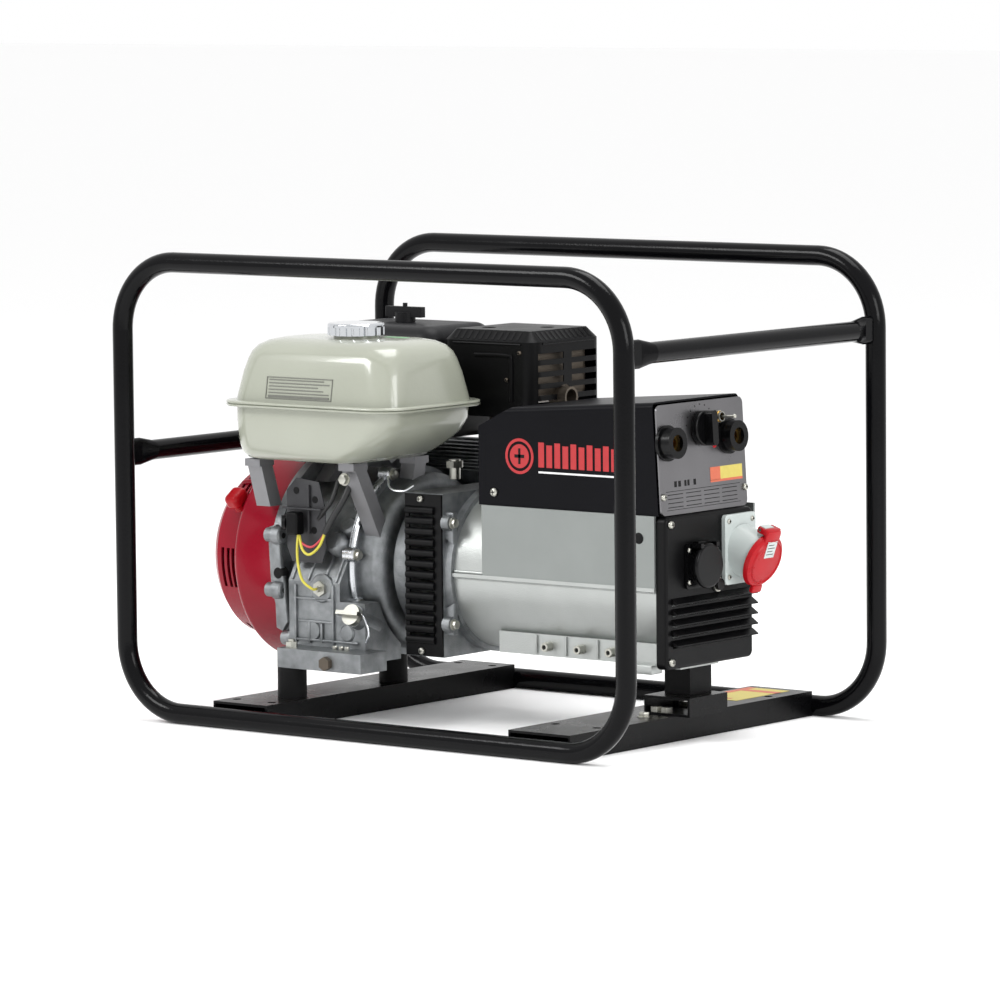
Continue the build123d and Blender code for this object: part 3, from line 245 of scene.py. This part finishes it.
# %% Inks
PRINT_GREY = surface("grey_print", "55564f", "6c6d66", 0.5, patch=4, grain=0.5, bump=0.05)
WHITE_PRINT = surface("white_print", "d0d0d0", "e0e0e0", 0.45, patch=6, grain=0.5, bump=0.05)
RED_PRINT = surface("red_print", "98141a", "b01c22", 0.4, patch=6, grain=0.5, bump=0.05)
ORANGE_PRINT = surface("orange_print", "b5543c", "c86a4a", 0.5, patch=5, grain=0.5, bump=0.05)
YELLOW_PRINT = surface("yellow_print", "b9a84a", "cbbc62", 0.5, patch=7, grain=0.5, bump=0.05)
GREEN_PRINT = surface("green_print", "5fa06a", "79b281", 0.45, patch=6, grain=0.5, bump=0.05)
print("materials", len(bpy.data.materials))

# %% [markdown]
# ## Dressing the CAD pieces
# The CAD pieces whose shape is already right keep it. Each only gets its finish, by filling
# its material slots.

# %% Finishes for the CAD nodes
FINISHES = {
    TUBE_ENAMEL: "front_loop rear_loop left_cross_tube right_cross_tube",
    CHANNEL_PAINT: "left_base_channel right_base_channel alternator_bridge",
    SHEET_PAINT: "control_box rocker_cover",
    GUARD_PAINT: "muffler_guard",
    RED_ENAMEL: "fan_shroud recoil_case",
    CREAM_ENAMEL: "fuel_tank_upper fuel_tank_lower",
    SILVER_PAINT: "tank_brackets",
    CAST_ALUMINIUM: "crankcase crankcase_cover cylinder_head adapter_housing carburettor flywheel",
    BARREL_ALUMINIUM: "alternator_housing",
    PLATE_ALUMINIUM: "alternator_side_plates",
    ZINC_STEEL: "mount_bolts panel_fittings stator rotor crankshaft toggle_lever oil_switch fuel_pipe "
                "dipstick",
    CHROME_PLATE: "fuel_cap",
    BRASS: "weld_contacts",
    MUFFLER_STEEL: "muffler drain_plug",
    STAINLESS: "control_panel",
    BLACK_PLASTIC: "recoil_pulley engine_switch_box end_cover adapter_grilles choke_lever fuel_valve_lever "
                   "engine_switch_knob",
    SMOOTH_BLACK: "weld_sockets selector_knob schuko_socket schuko_lid breaker_button spark_plug",
    FILTER_PLASTIC: "air_cleaner_base air_cleaner_cover air_cleaner_knob",
    RED_PLASTIC: "starter_grip cee_lid",
    WHITE_PLASTIC: "cee_socket",
    RUBBER: "alternator_foot engine_mounts",
    YELLOW_WIRE: "engine_leads",
    ROPE_CORD: "starter_rope",
}
for finish, names in FINISHES.items():
    for name in names.split():
        data = NODES[name].data
        data.materials.clear()
        data.materials.append(finish)
print("dressed", sum(len(v.split()) for v in FINISHES.values()), "of", len(NODES))

# %% [markdown]
# ## Tools for new pieces
# Every added piece is drawn in millimetres with the mesh operators, then scaled to metres once.
# A `Draft` collects parts into one mesh, so a row of screws becomes a single piece. Blocks get
# a small bevel, because no real edge is perfectly sharp and a bevel is what catches the light.


# %% Draft helper
class Draft:
    """Collects mesh parts, in millimetres, for one piece."""

    def __init__(self):
        self.mesh = bmesh.new()

    def put(self, part, place=None):
        """Moves a part into place and joins it to the piece."""
        if place is not None:
            bmesh.ops.transform(part, matrix=place, verts=part.verts)
        data = bpy.data.meshes.new("part")
        part.to_mesh(data)
        part.free()
        self.mesh.from_mesh(data)
        bpy.data.meshes.remove(data)

    def block(self, low, high, bevel=0.6, place=None):
        """A bevelled box between two corners."""
        part = bmesh.new()
        bmesh.ops.create_cube(part, size=1)
        size = [b - a for a, b in zip(low, high)]
        centre = [(a + b) / 2 for a, b in zip(low, high)]
        bmesh.ops.transform(part, matrix=Matrix.Translation(centre) @ Matrix.Diagonal((*size, 1)),
                            verts=part.verts)
        if bevel:
            bmesh.ops.bevel(part, geom=part.edges[:], offset=bevel, segments=2, profile=0.5, affect="EDGES",
                            material=-1)
        self.put(part, place)

    def spun(self, outline, place, steps=32):
        """A turned shape: (radius, height) pairs spun round local Z."""
        part = bmesh.new()
        verts = [part.verts.new((max(r, 0.0), 0, h)) for r, h in outline]
        edges = [part.edges.new(pair) for pair in zip(verts, verts[1:])]
        bmesh.ops.spin(part, geom=verts + edges, cent=(0, 0, 0), axis=(0, 0, 1), angle=2 * pi, steps=steps,
                       use_merge=True)
        bmesh.ops.remove_doubles(part, verts=part.verts, dist=0.001)
        self.put(part, place)

    def tube(self, points, radius, sides=12, steps=8):
        """A round wire through points, smoothed between them."""
        line = smooth_line([Vector(p) for p in points], steps)
        part = bmesh.new()
        rings = []
        side = Vector((0, 0, 1)) if abs((line[1] - line[0]).normalized().z) < 0.9 else Vector((1, 0, 0))
        for i, p in enumerate(line):
            along = (line[min(i + 1, len(line) - 1)] - line[max(i - 1, 0)]).normalized()
            side = (side - along * side.dot(along)).normalized()
            other = along.cross(side)
            turn = [2 * pi * k / sides for k in range(sides)]
            rings.append([part.verts.new(p + (side * cos(a) + other * sin(a)) * radius) for a in turn])
        bridge(part, rings)
        self.put(part)

    def prism(self, outline, depth, place, bevel=0.5):
        """A flat outline in local XY, thickened along local Z."""
        part = bmesh.new()
        face = part.faces.new([part.verts.new((x, y, 0)) for x, y in outline])
        grown = bmesh.ops.extrude_face_region(part, geom=[face])
        moved = [v for v in grown["geom"] if isinstance(v, bmesh.types.BMVert)]
        bmesh.ops.translate(part, verts=moved, vec=(0, 0, depth))
        if bevel:
            bmesh.ops.bevel(part, geom=part.edges[:], offset=bevel, segments=2, profile=0.5, affect="EDGES",
                            material=-1)
        self.put(part, place)

    def loft(self, rings):
        """A closed skin through rounded rectangles, each (x low, x high, y low, y high, corner, z)."""
        part = bmesh.new()
        loops = []
        for left, right, near, far, corner, z in rings:
            loop = []
            for k, (x, y) in enumerate(((right, far), (left, far), (left, near), (right, near))):
                x += corner if x == left else -corner
                y += corner if y == near else -corner
                turns = [pi / 2 * (k + step / 8) for step in range(9)]
                loop += [part.verts.new((x + corner * cos(a), y + corner * sin(a), z)) for a in turns]
            loops.append(loop)
        bridge(part, loops)
        self.put(part)

    def finish(self, name, finish, body="machine", smooth=35):
        """Makes the object, in metres, and lets it ride on its body."""
        bmesh.ops.recalc_face_normals(self.mesh, faces=self.mesh.faces)
        bmesh.ops.transform(self.mesh, matrix=Matrix.Scale(0.001, 4), verts=self.mesh.verts)
        data = bpy.data.meshes.new(name)
        self.mesh.to_mesh(data)
        self.mesh.free()
        data.materials.append(finish)
        data.shade_smooth()
        data.set_sharp_from_angle(angle=radians(smooth))
        piece = bpy.data.objects.new(name, data)
        bpy.context.scene.collection.objects.link(piece)
        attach(piece, body)
        return piece


def bridge(part, rings):
    """Skins a row of closed rings of vertices and closes both ends."""
    hoops = [[part.edges.new(pair) for pair in zip(ring, ring[1:] + ring[:1])] for ring in rings]
    for one, two in zip(hoops, hoops[1:]):
        bmesh.ops.bridge_loops(part, edges=one + two)
    bmesh.ops.holes_fill(part, edges=hoops[0] + hoops[-1], sides=0)


def smooth_line(points, steps):
    """Catmull-Rom points through the given ones."""
    ends = [points[0] * 2 - points[1]] + points + [points[-1] * 2 - points[-2]]
    line = []
    for a, b, c, d in zip(ends, ends[1:], ends[2:], ends[3:]):
        for k in range(steps):
            t = k / steps
            line.append(0.5 * (2 * b + (c - a) * t + (2 * a - 5 * b + 4 * c - d) * t ** 2
                               + (3 * b - a - 3 * c + d) * t ** 3))
    return line + [points[-1]]


def facing(point, normal, up=(0, 0, 1)):
    """A frame at a point whose local Z is the normal and local Y is close to up."""
    z = Vector(normal).normalized()
    x = Vector(up).cross(z)
    x = Vector((1, 0, 0)) if x.length < 0.01 else x.normalized()
    turn = Matrix((x, z.cross(x), z)).transposed().to_4x4()
    return Matrix.Translation(point) @ turn


print("tools ready")

# %% [markdown]
# ## Screws
# A pan-head screw is a shallow dome with a cross slot. The dome is spun and the slot is two
# thin black bars let into it. Their black is painted shade: at this size the eye reads the
# shadowed cross, not its depth.


# %% Screw maker
def pan_screws(name, spots, finish, radius=4.0, body="machine"):
    """Pan-head screws at (point, normal) pairs, with black bars painted as the shade in each cross slot."""
    heads = Draft()
    slot_shade = Draft()
    for point, normal in spots:
        place = facing(point, normal)
        heads.spun([(0, 2.6), (radius * 0.55, 2.45), (radius * 0.85, 1.7), (radius, 0.7), (radius, -1)],
                   place, 20)
        # Two thin black bars across the dome: painted shade standing for the shadow in the cross slot.
        for long, wide in ((radius * 0.55, 0.5), (0.5, radius * 0.55)):
            slot_shade.block((-long, -wide, 2), (long, wide, 2.72), 0, place)
    heads.finish(name, finish, body)
    slot_shade.finish(name + "_slots", SMOOTH_BLACK, body)


def hex_bolts(name, spots, finish, across=10, high=5, washer=0.0, body="machine"):
    """Hexagon heads, each with a chamfered top and an optional washer."""
    heads = Draft()
    for point, normal in spots:
        place = facing(point, normal)
        r = across / 1.732
        corners = [(r * cos(k * pi / 3), r * sin(k * pi / 3)) for k in range(6)]
        heads.prism(corners, high, place, 0.7)
        if washer:
            heads.spun([(0, 1.2), (washer - 0.3, 1.2), (washer, 0.8), (washer, -0.5)], place, 24)
    heads.finish(name, finish, body)


FRONT = (0, -1, 0)
SIDE = (1, 0, 0)
UP = (0, 0, 1)
LEAN = radians(3.4)
PANEL_NORMAL = (cos(LEAN), 0, sin(LEAN))
PANEL_MIDDLE = (318.2, -12, 342.5)
CRANK_Z = 190


def on_panel(across, up, out=2.0):
    """A point on the leaning panel, in millimetres from its middle."""
    x, y, z = PANEL_MIDDLE
    return (x - up * sin(LEAN) + out * cos(LEAN), y + across, z + up * cos(LEAN) + out * sin(LEAN))


pan_screws("panel_screw_heads", [(on_panel(a, -43.5, 3.4), PANEL_NORMAL) for a in (-81, 81)], ZINC_STEEL, 4.2)
pan_screws("cover_screw_heads", [((331.6, -89, z), SIDE) for z in (103, 267)], ZINC_STEEL, 4.7)
pan_screws("box_screw_head", [((72, -99.6, 293), FRONT)], ZINC_STEEL, 5.2)
pan_screws("grille_screw_heads", [((-35, -109.8, z), FRONT) for z in (94, 280)], ZINC_STEEL, 4.2)
pan_screws("schuko_screws", [((333.4, -57, z), SIDE) for z in (196, 234)], ZINC_STEEL, 3.2)
pan_screws("cee_screws", [((334.6, y, z), SIDE) for y in (21, 68) for z in (195, 262)], ZINC_STEEL, 3.4)
pan_screws("guard_screws", [((p, 13.6, z), FRONT) for p, z in ((3.8, 418.4), (24, 452))], MUFFLER_STEEL, 2.8)
print("screws placed")

# %% [markdown]
# ## Crankcase casting
# A sand casting is never a bare box: the pattern maker adds ribs where the wall is thin, round
# bosses where a bolt goes in, and thick flanges where two castings meet. These ribs and bosses
# lie on the CAD crankcase. The machined joint faces are left bright.

# %% Ribs and bosses
ribs = Draft()
FACE_Y = -138
CASE_EARS = ((-141, 227), (-141, 159), (-112, 96))
for low, high in (((-214, 0, 150), (-150, 0, 153)), ((-206, 0, 122), (-150, 0, 125)),
                  ((-214, 0, 99), (-110, 0, 102))):
    ribs.block((low[0], FACE_Y - 3, low[2]), (high[0], FACE_Y + 2, high[2]), 1.2)
for x, low, high in ((-212, 96, 168), (-190, 96, 124), (-152, 96, 170), (-170, 98, 122)):
    ribs.block((x, FACE_Y - 3.5, low), (x + 4, FACE_Y + 2, high), 1.2)
ribs.spun([(0, 3), (16, 3), (18, 1), (18, -3)], facing((-168, FACE_Y, 165), FRONT))
ribs.spun([(0, 2.5), (11, 2.5), (12.5, 0.5), (13, -3)], facing((-183, FACE_Y, 112), FRONT))
ribs.spun([(0, 2.5), (9, 2.5), (11, 0.5), (11, -3)], facing((-128, FACE_Y, 112), FRONT))
slope = Vector((0, -43, 26)).normalized()
for x in (-216, -190, -164, -146):
    ribs.block((-1.8, -24, -2), (1.8, 22, 3), 1, facing((x, -125, 193.5), slope))
ribs.spun([(0, 14), (11, 14), (14, 10), (16, -6)], facing((-160, -112, 216), (0, -1, 0.6)))
ribs.spun([(0, 10), (9, 10), (12, 7), (13, -6)], facing((-152, -100, 236), (0, -1, 0.9)))
for y, z in CASE_EARS:
    ribs.spun([(0, 1), (8, 1), (10.5, -1), (11.5, -12)], facing((-228, y, z), SIDE))
ribs.prism([(-252, 236), (-240, 240), (-234, 236), (-232, 190), (-226, 165), (-222, 120), (-230, 108),
            (-240, 112),
            (-242, 160),
            (-250, 196)], 8, Matrix.Translation((0, -134, 0)) @ Matrix.Rotation(pi / 2, 4, "X"), 1.5)
ribs.finish("crankcase_ribs", CAST_ALUMINIUM)

flange = Draft()
BOLT_CIRCLE = 121
joint_bolts = [(-BOLT_CIRCLE * cos(radians(a)), CRANK_Z + BOLT_CIRCLE * sin(radians(a)))
               for a in (-22, 8, 38, 66)]
arc = [(-118.5 * cos(radians(a)), CRANK_Z + 118.5 * sin(radians(a))) for a in range(-38, 76, 6)]
flange.tube([(-136, y, z) for y, z in arc], 4.5, 10, 2)
flange.tube([(-141.5, y * 0.985, CRANK_Z + (z - CRANK_Z) * 0.985) for y, z in arc], 3, 10, 2)
for y, z in joint_bolts:
    flange.spun([(0, 2), (8, 2), (9.5, 0), (9.5, -14)], facing((-129, y, z), SIDE), 24)
flange.finish("case_joint_flange", BRIGHT_ALUMINIUM)
hex_bolts("case_joint_bolts", [((-127.5, y, z), SIDE) for y, z in joint_bolts], ZINC_STEEL, 10, 6, 7.5)
hex_bolts("foot_bolts", [((x, -152, 92.6), UP) for x in (-137, -127, -118)], ZINC_STEEL, 6, 5)
hex_bolts("bracket_bolt", [((-118, -152, 303), FRONT)], ZINC_STEEL, 11, 6, 8)
hex_bolts("bridge_end_bolt", [((269, -62, 31), UP)], ZINC_STEEL, 12, 6, 9)
print("casting details placed")

# %% [markdown]
# ## Air baffle, leads and wires
# A painted steel baffle keeps the fan's air on the cylinder. The stop switch and the low-oil
# sensor are joined by thin insulated wires, which hang in soft curves because copper strand is
# springy. They are drawn as tubes through a few points.

# %% Baffle and wires
baffle = Draft()
outline = [(-214, 196), (-166, 196), (-160, 214), (-160, 262), (-170, 296), (-206, 300), (-222, 284),
           (-222, 214)]
baffle.prism(outline, 1.6, Matrix.Translation((0, -138.5, 0)) @ Matrix.Rotation(pi / 2, 4, "X"), 0.4)
baffle.block((-186, -144, 232), (-183, -139, 292), 0.6)
baffle.block((-222, -150, 262), (-160, -138, 264), 0.5)
baffle.finish("air_baffle", BAFFLE_PAINT)
# Thin dark rubber discs on the baffle and the case ears: painted shade for the dark openings there. The last,
# taller piece is a raised rubber plug on the case.
hole_shade = Draft()
for x, z in ((-176, 274), (-178, 236), (-206, 284)):
    hole_shade.spun([(0, 0.4), (3.2, 0.3), (4.4, 0.4), (4.4, -1)], facing((x, -140.2, z), FRONT), 20)
for y, z in CASE_EARS:
    hole_shade.spun([(0, 0.2), (3.6, 0.2), (3.6, -1)], facing((-226.9, y, z), SIDE), 20)
hole_shade.spun([(0, 6), (6, 6), (8, 4), (8, -6)], facing((-236, -137, 180), FRONT), 24)
hole_shade.finish("baffle_hole_shade_and_plug", RUBBER)

sensor_wire = Draft()
sensor_wire.tube([(-193, -153, 231), (-194, -154, 214), (-191, -156, 194), (-181, -160, 176),
                  (-168, -158, 166.5), (-168, -149, 165)], 1.7)
sensor_wire.tube([(-192, -152, 230), (-184, -156, 214), (-173, -156, 208), (-160, -153, 218),
                  (-152, -150, 236)], 1.7)
yellow_leads = sensor_wire.finish("yellow_leads", YELLOW_WIRE)
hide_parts("engine_leads")
red_wire = Draft()
red_wire.tube([(-194, -152, 230), (-187, -153, 221), (-172, -153, 217), (-160, -150, 226),
               (-152, -148, 238)], 1.5)
red_wire.finish("red_lead", RED_WIRE)
sleeve = Draft()
sleeve.tube([(-153, -150, 234), (-143, -146, 254), (-131, -140, 276), (-126, -132, 296), (-122, -126, 318)],
            4.2)
sleeve.tube([(-172, -138, 250), (-160, -141, 262), (-150, -138, 276), (-146, -130, 300)], 3)
sleeve.finish("lead_sleeve", BLACK_WIRE)
governor = Draft()
governor.tube([(-122, -142, 137), (-104, -146, 141), (-92, -148, 132), (-86, -148, 116), (-92, -146, 104)],
              1.3)
governor.tube([(-78, -118, 306), (-70, -126, 296), (-58, -130, 291), (-44, -128, 291), (-36, -120, 297)], 1.4)
governor.finish("bent_wires", CHROME_PLATE)
print("wires placed")

# %% [markdown]
# ## Starter housing
# Three ribs are pressed into the bowl so that thin sheet stays stiff. They follow the curve of
# the housing from its face to its rim.

# %% Pressed ribs
pressed = Draft()
for a in (100, 112, 124):
    t = radians(a)
    sweep = ((-366, 102.3), (-358, 108.3), (-340, 110.8), (-322, 111.8))
    spots = [(x, r * cos(t), CRANK_Z + r * sin(t)) for x, r in sweep]
    pressed.tube(spots, 3.4, 12, 5)
pressed.finish("starter_ribs", RED_ENAMEL)

# %% [markdown]
# ## Fuel tank
# The tank is two deep-drawn pressings welded at a rolled seam. Drawn sheet has no tight corner,
# so each half is a skin through rounded rectangles that shrink and round off towards its end. The
# lower half is cut away towards the alternator to leave room for the machine behind it.

# %% Tank halves
upper = Draft()
upper.loft([(-283, -22, -183, -4, 34, 392), (-282, -23, -182, -5, 34, 400), (-277, -28, -177, -10, 36, 430),
            (-273, -32, -173, -14, 37, 446), (-270, -35, -170, -17, 38, 455), (-264, -41, -164, -23, 38, 463),
            (-254, -51, -154, -33, 36, 468.5), (-241, -64, -141, -46, 32, 471.3),
            (-228, -77, -133, -57, 28, 472)])
upper.loft([(-294, -11, -194, 7, 44, 392.2), (-295, -10, -195, 8, 45, 393), (-295, -10, -195, 8, 45, 394.4),
            (-294, -11, -194, 7, 44, 395.4)])
upper.spun([(0, 471), (28, 471), (28, 474.8), (0, 474.8)], Matrix.Translation((-145, -95, 0)), 40)
tank_upper = upper.finish("tank_upper_shell", CREAM_ENAMEL, smooth=50)
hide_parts("fuel_tank_upper")
lower = Draft()
lower.loft([(-268, -104, -160, -14, 26, 322.2), (-275, -92, -170, -9, 32, 325),
            (-279, -78, -176, -7, 34, 331),
            (-281, -58, -180, -6, 35, 342), (-282, -36, -182, -5, 35, 358), (-283, -25, -183, -4, 36, 374),
            (-283, -22, -183, -4, 36, 392)])
lower.loft([(-294, -11, -194, 7, 44, 388.8), (-295, -10, -195, 8, 45, 389.8), (-295, -10, -195, 8, 45, 391),
            (-294, -11, -194, 7, 44, 391.8)])
tank_lower = lower.finish("tank_lower_shell", CREAM_ENAMEL, smooth=50)
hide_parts("fuel_tank_lower")
print("tank skinned")

# %% [markdown]
# ## Muffler guard
# The guard is punched all round its sloping top edge so that hot air can leave. Each slot is
# drawn as a thin black block on the surface, which is painted shade for the dark inside of the
# opening. The long ribs stiffen the flat side.

# %% Guard slot shade and ribs
# Thin black blocks on the guard's top edge: painted shade for the dark inside of each slot.
slot_shade = Draft()
down = Vector((0, -1, 1)).normalized()
for k in range(11):
    x = -78 + 9.6 * k
    slot_shade.block((-2.1, -6.6, -1), (2.1, 6.6, 0.35), 0, facing((x, 20.5, 471.5), down))
    slot_shade.block((-2.1, -6.6, -1), (2.1, 6.6, 0.35), 0, facing((x, 147.5, 471.5), (0, 1, 1)))
for k in range(11):
    y = 36 + 9.6 * k
    slot_shade.block((-2.3, -6.8, -1), (2.3, 6.8, 0.35), 0, facing((37.5, y, 471.5), (1, 0, 1)))
slot_shade.finish("guard_slot_shade", SMOOTH_BLACK)
guard_ribs = Draft()
guard_ribs.tube([(-80, 14, 462), (26, 14, 462)], 1.5, 8, 2)
guard_ribs.tube([(-46, 13.6, 448), (4, 13.6, 448), (11, 13.6, 441), (11, 13.6, 392)], 2.6, 10, 4)
guard_ribs.tube([(44, 34, 463), (44, 136, 463)], 1.3, 8, 2)
guard_ribs.finish("guard_ribs", GUARD_PAINT)
print("guard dressed")

# %% [markdown]
# ## Industrial socket lid
# The lid of a 16 A socket is a shallow moulded cap. A broad arm carries it to the hinge pin, and
# a lip at the bottom gives the thumb a hold. It is spun, then the arm is added as a prism.

# %% Lid
CEE_LEAN = radians(20)
CEE_OUT = Vector((cos(CEE_LEAN), 0, -sin(CEE_LEAN)))
CEE_PLACE = facing((334, 48, 226), CEE_OUT)
lid = Draft()
rim = [(0, 39.6), (22, 39.2), (29, 38.2), (32.4, 36), (33.8, 32.5), (34, 30.4), (31.5, 30.4), (31.5, 31.4),
       (0, 31.4)]
lid.spun(rim, CEE_PLACE, 56)
lid.spun([(25.5, 38.8), (27, 40), (28.5, 38.2)], CEE_PLACE, 56)
arm = [(-14, 22.2), (-14.5, 34), (-13, 39.6), (13, 39.6), (14.5, 34), (14, 22.2)]
lid.prism(arm, 4.6, CEE_PLACE @ Matrix.Translation((0, 0, 34)), 1.6)
for x in (-14.5, 9.8):
    lid.block((x, 33.4, 21.6), (x + 4.7, 41.4, 36.6), 2, CEE_PLACE)
lid.block((-14.2, 37.4, 30), (14.2, 41.6, 36.8), 1.8, CEE_PLACE)
lid.block((-9.5, -41, 31.5), (9.5, -31, 37.5), 2, CEE_PLACE)
cee_lid = lid.finish("cee_lid_cap", RED_PLASTIC, "cee_lid_body")
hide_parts("cee_lid")
sticker = Draft()
sticker.block((-9.5, 6, 39.2), (9.5, 27, 39.75), 0.1, CEE_PLACE)
sticker.finish("cee_lid_sticker", WHITE_PLASTIC, "cee_lid_body")
lines = Draft()
for k in range(4):
    lines.block((-7, 10 + 4 * k, 39.7), (7 - 3 * (k % 2), 11 + 4 * k, 39.8), 0, CEE_PLACE)
lines.finish("cee_lid_print", SMOOTH_BLACK, "cee_lid_body")
pin = Draft()
pin.spun([(0, -15), (1.9, -15), (1.9, 15), (0, 15)], CEE_PLACE @ Matrix.Translation((0, 38, 26)) @
         Matrix.Rotation(pi / 2, 4, "Y"), 16)
pin.finish("cee_hinge_pin", ZINC_STEEL, "cee_lid_body")
print("lid placed")

# %% [markdown]
# ## Alternator bolts, dents and plug
# The barrel is held by long bolts along its foot, and the side plate has a rubber plug over an
# access hole. Small pads stand where the mould's ejector pins pushed.

# %% Alternator trim
sockets = Draft()
hole_shade = Draft()
for x in (138, 187.5, 235):
    place = facing((x, -83, 108), FRONT)
    sockets.spun([(0, 4), (2.6, 4), (3, 5.4), (5, 5.4), (5.6, 4.8), (5.6, -2)], place, 24)
    # A flat black disc down in each bolt head's socket: painted shade for the dark hex recess.
    hole_shade.spun([(0, 4.1), (2.7, 4.1)], place, 6)
sockets.finish("rail_bolts", ZINC_STEEL)
hole_shade.finish("rail_bolt_socket_shade", SMOOTH_BLACK)
plug = Draft()
plug.spun([(0, 1.6), (5, 1.6), (6.6, 0.8), (7, -0.5)], facing((292, -101, 250), FRONT), 28)
plug.finish("access_plug", RUBBER)
barrel = Draft()
for side in (-1, 1):
    for z in (186, 193.5):
        barrel.tube([(9, side * 98.4, z), (314, side * 98.4, z)], 1.6, 8, 2)
for x, z in ((70, 110), (87, 110)):
    barrel.spun([(0, 2), (3.5, 2), (4.5, 0), (4.5, -6)], facing((x, -70, z), FRONT), 20)
for side in (-1, 1):
    for x in (118, 163, 211, 258):
        barrel.block((x - 1.5, min(side * 74, side * 79), 98), (x + 1.5, max(side * 74, side * 79), 121), 0.8)
barrel.finish("barrel_seams", BARREL_ALUMINIUM)
ears = Draft()
for side in (-1, 1):
    for z, down in ((252, 1), (128, -1)):
        shape = [(-12, -15 * down), (9, -26 * down), (9, 13 * down), (-12, 13 * down)]
        shape = shape if down == 1 else shape[::-1]
        place = Matrix.Translation((0, side * 96 + 4, z)) @ Matrix.Rotation(pi / 2, 4, "X")
        ears.prism(shape, 9, place, 1.5)
ears.finish("adapter_ears", CAST_ALUMINIUM)
hex_bolts("adapter_bolts", [((8, s * 100, z), SIDE) for s in (-1, 1) for z in (252, 128)], ZINC_STEEL, 10,
          6, 7)
foot = Draft()
foot.block((262, -88, 86), (300, -66, 97), 1.5)
foot.finish("rail_foot", BARREL_ALUMINIUM)
print("alternator dressed")

# %% [markdown]
# ## Prints and labels
# Every label is a thin plate with a few raised bars. The bars stand for printed lines: no
# words, only their rhythm.


# %% Label maker
def bars(name, place, spots, finish, lift=0.12, body="machine"):
    """Flat printed bars, given as (x, y, width, height) on a frame."""
    draft = Draft()
    for x, y, wide, high in spots:
        draft.block((x, y, 0), (x + wide, y + high, lift), 0, place)
    draft.finish(name, finish, body)


tank_slope = Vector((0, -cos(radians(9.5)), sin(radians(9.5))))
tank_place = facing((-218, -182.3, 400), tank_slope)
bars("tank_label_frame", tank_place, [(0, 0, 105, 1), (0, 26, 105, 1), (0, 0, 1, 27), (104, 0, 1, 27)],
     PRINT_GREY, 0.5)
rows = [(4, 7 + 4 * k, 96 - 9 * (k % 3), 1.1) for k in range(5)]
bars("tank_label_print", tank_place, rows + [(4, 1.8, 97, 2.8)], PRINT_GREY, 0.5)
bars("tank_top_sticker", facing((-118, -74, 472), UP, (0, 1, 0)), [(0, 0, 34, 8)], GREEN_PRINT, 0.3)
bars("tank_top_streak", facing((-126, -130, 472), UP, (0, 1, 0)), [(0, 0, 38, 5)], PRINT_GREY, 0.3)

mark_place = facing((111, -98, 338.5), FRONT)
mark = Draft()
mark.spun([(18, 0), (18, 0.3), (21.5, 0.3), (21.5, 0)], mark_place, 64)
mark.spun([(0, 0.3), (14.5, 0.3), (14.5, 0)], mark_place, 64)
mark.finish("box_roundel", RED_PRINT)
bars("box_roundel_bolt", mark_place, [(-1.7, -9.5, 3.4, 19), (-7.5, -2, 15, 4)], SMOOTH_BLACK, 0.45)
word = [(29 + 12.2 * k, -12, 8.6, 30 - 3 * (k % 2)) for k in range(10)]
bars("box_banner", mark_place, word, RED_PRINT, 0.3)
bars("box_banner_line", mark_place, [(29, -19, 118, 2.2)], WHITE_PRINT, 0.3)

panel_place = facing(on_panel(0, 0, 2.0), PANEL_NORMAL)
bars("panel_label_red", panel_place, [(14, -31, 20, 16), (14, -33, 64, 3)], ORANGE_PRINT, 0.3)
bars("panel_label_yellow", panel_place, [(34, -30, 44, 15)], YELLOW_PRINT, 0.3)
table = [(-72 + 36 * c, -42 - 5 * r, 30, 0.9) for r in range(4) for c in range(4)]
bars("panel_table", panel_place, table + [(-75, -60, 147, 0.6), (-75, -38, 147, 0.6)], SMOOTH_BLACK, 0.15)
DIAL_R = 28.5
marks = [radians(20 * k) for k in range(-4, 5)]
dial = [(DIAL_R * sin(a) - 0.7, 33 + DIAL_R * cos(a) - 0.7, 1.6, 1.6) for a in marks]
bars("panel_dial_dots", panel_place, dial + [(-58, -33, 5, 7), (-50, -33, 5, 7), (-38, -33, 4, 7),
                                             (-32, -33, 4, 7), (-20, -33, 5, 7)], SMOOTH_BLACK, 0.15)
lamp = Draft()
lamp.spun([(0, 2.6), (1.6, 2.2), (2.5, 0.6), (3, 0.4), (3, 0)], facing(on_panel(25, 10.5), PANEL_NORMAL), 20)
lamp.finish("panel_lamp", RED_PLASTIC)
nut = Draft()
nut.spun([(5, 0), (5, 3.4), (6.2, 3.4), (6.8, 2.6), (6.8, 0)],
         facing(on_panel(33.5, 44.5, 4), PANEL_NORMAL), 24)
nut.finish("toggle_nut", BRASS)
channel_place = facing((252, 176, 31), UP)
bars("channel_label_yellow", channel_place, [(-40, -60, 62, 112)], YELLOW_PRINT, 0.3)
bars("channel_label_red", channel_place, [(-40, -60, 11, 112), (-29, 20, 51, 14), (-24, -50, 30, 6)],
     ORANGE_PRINT, 0.42)
print("labels placed")
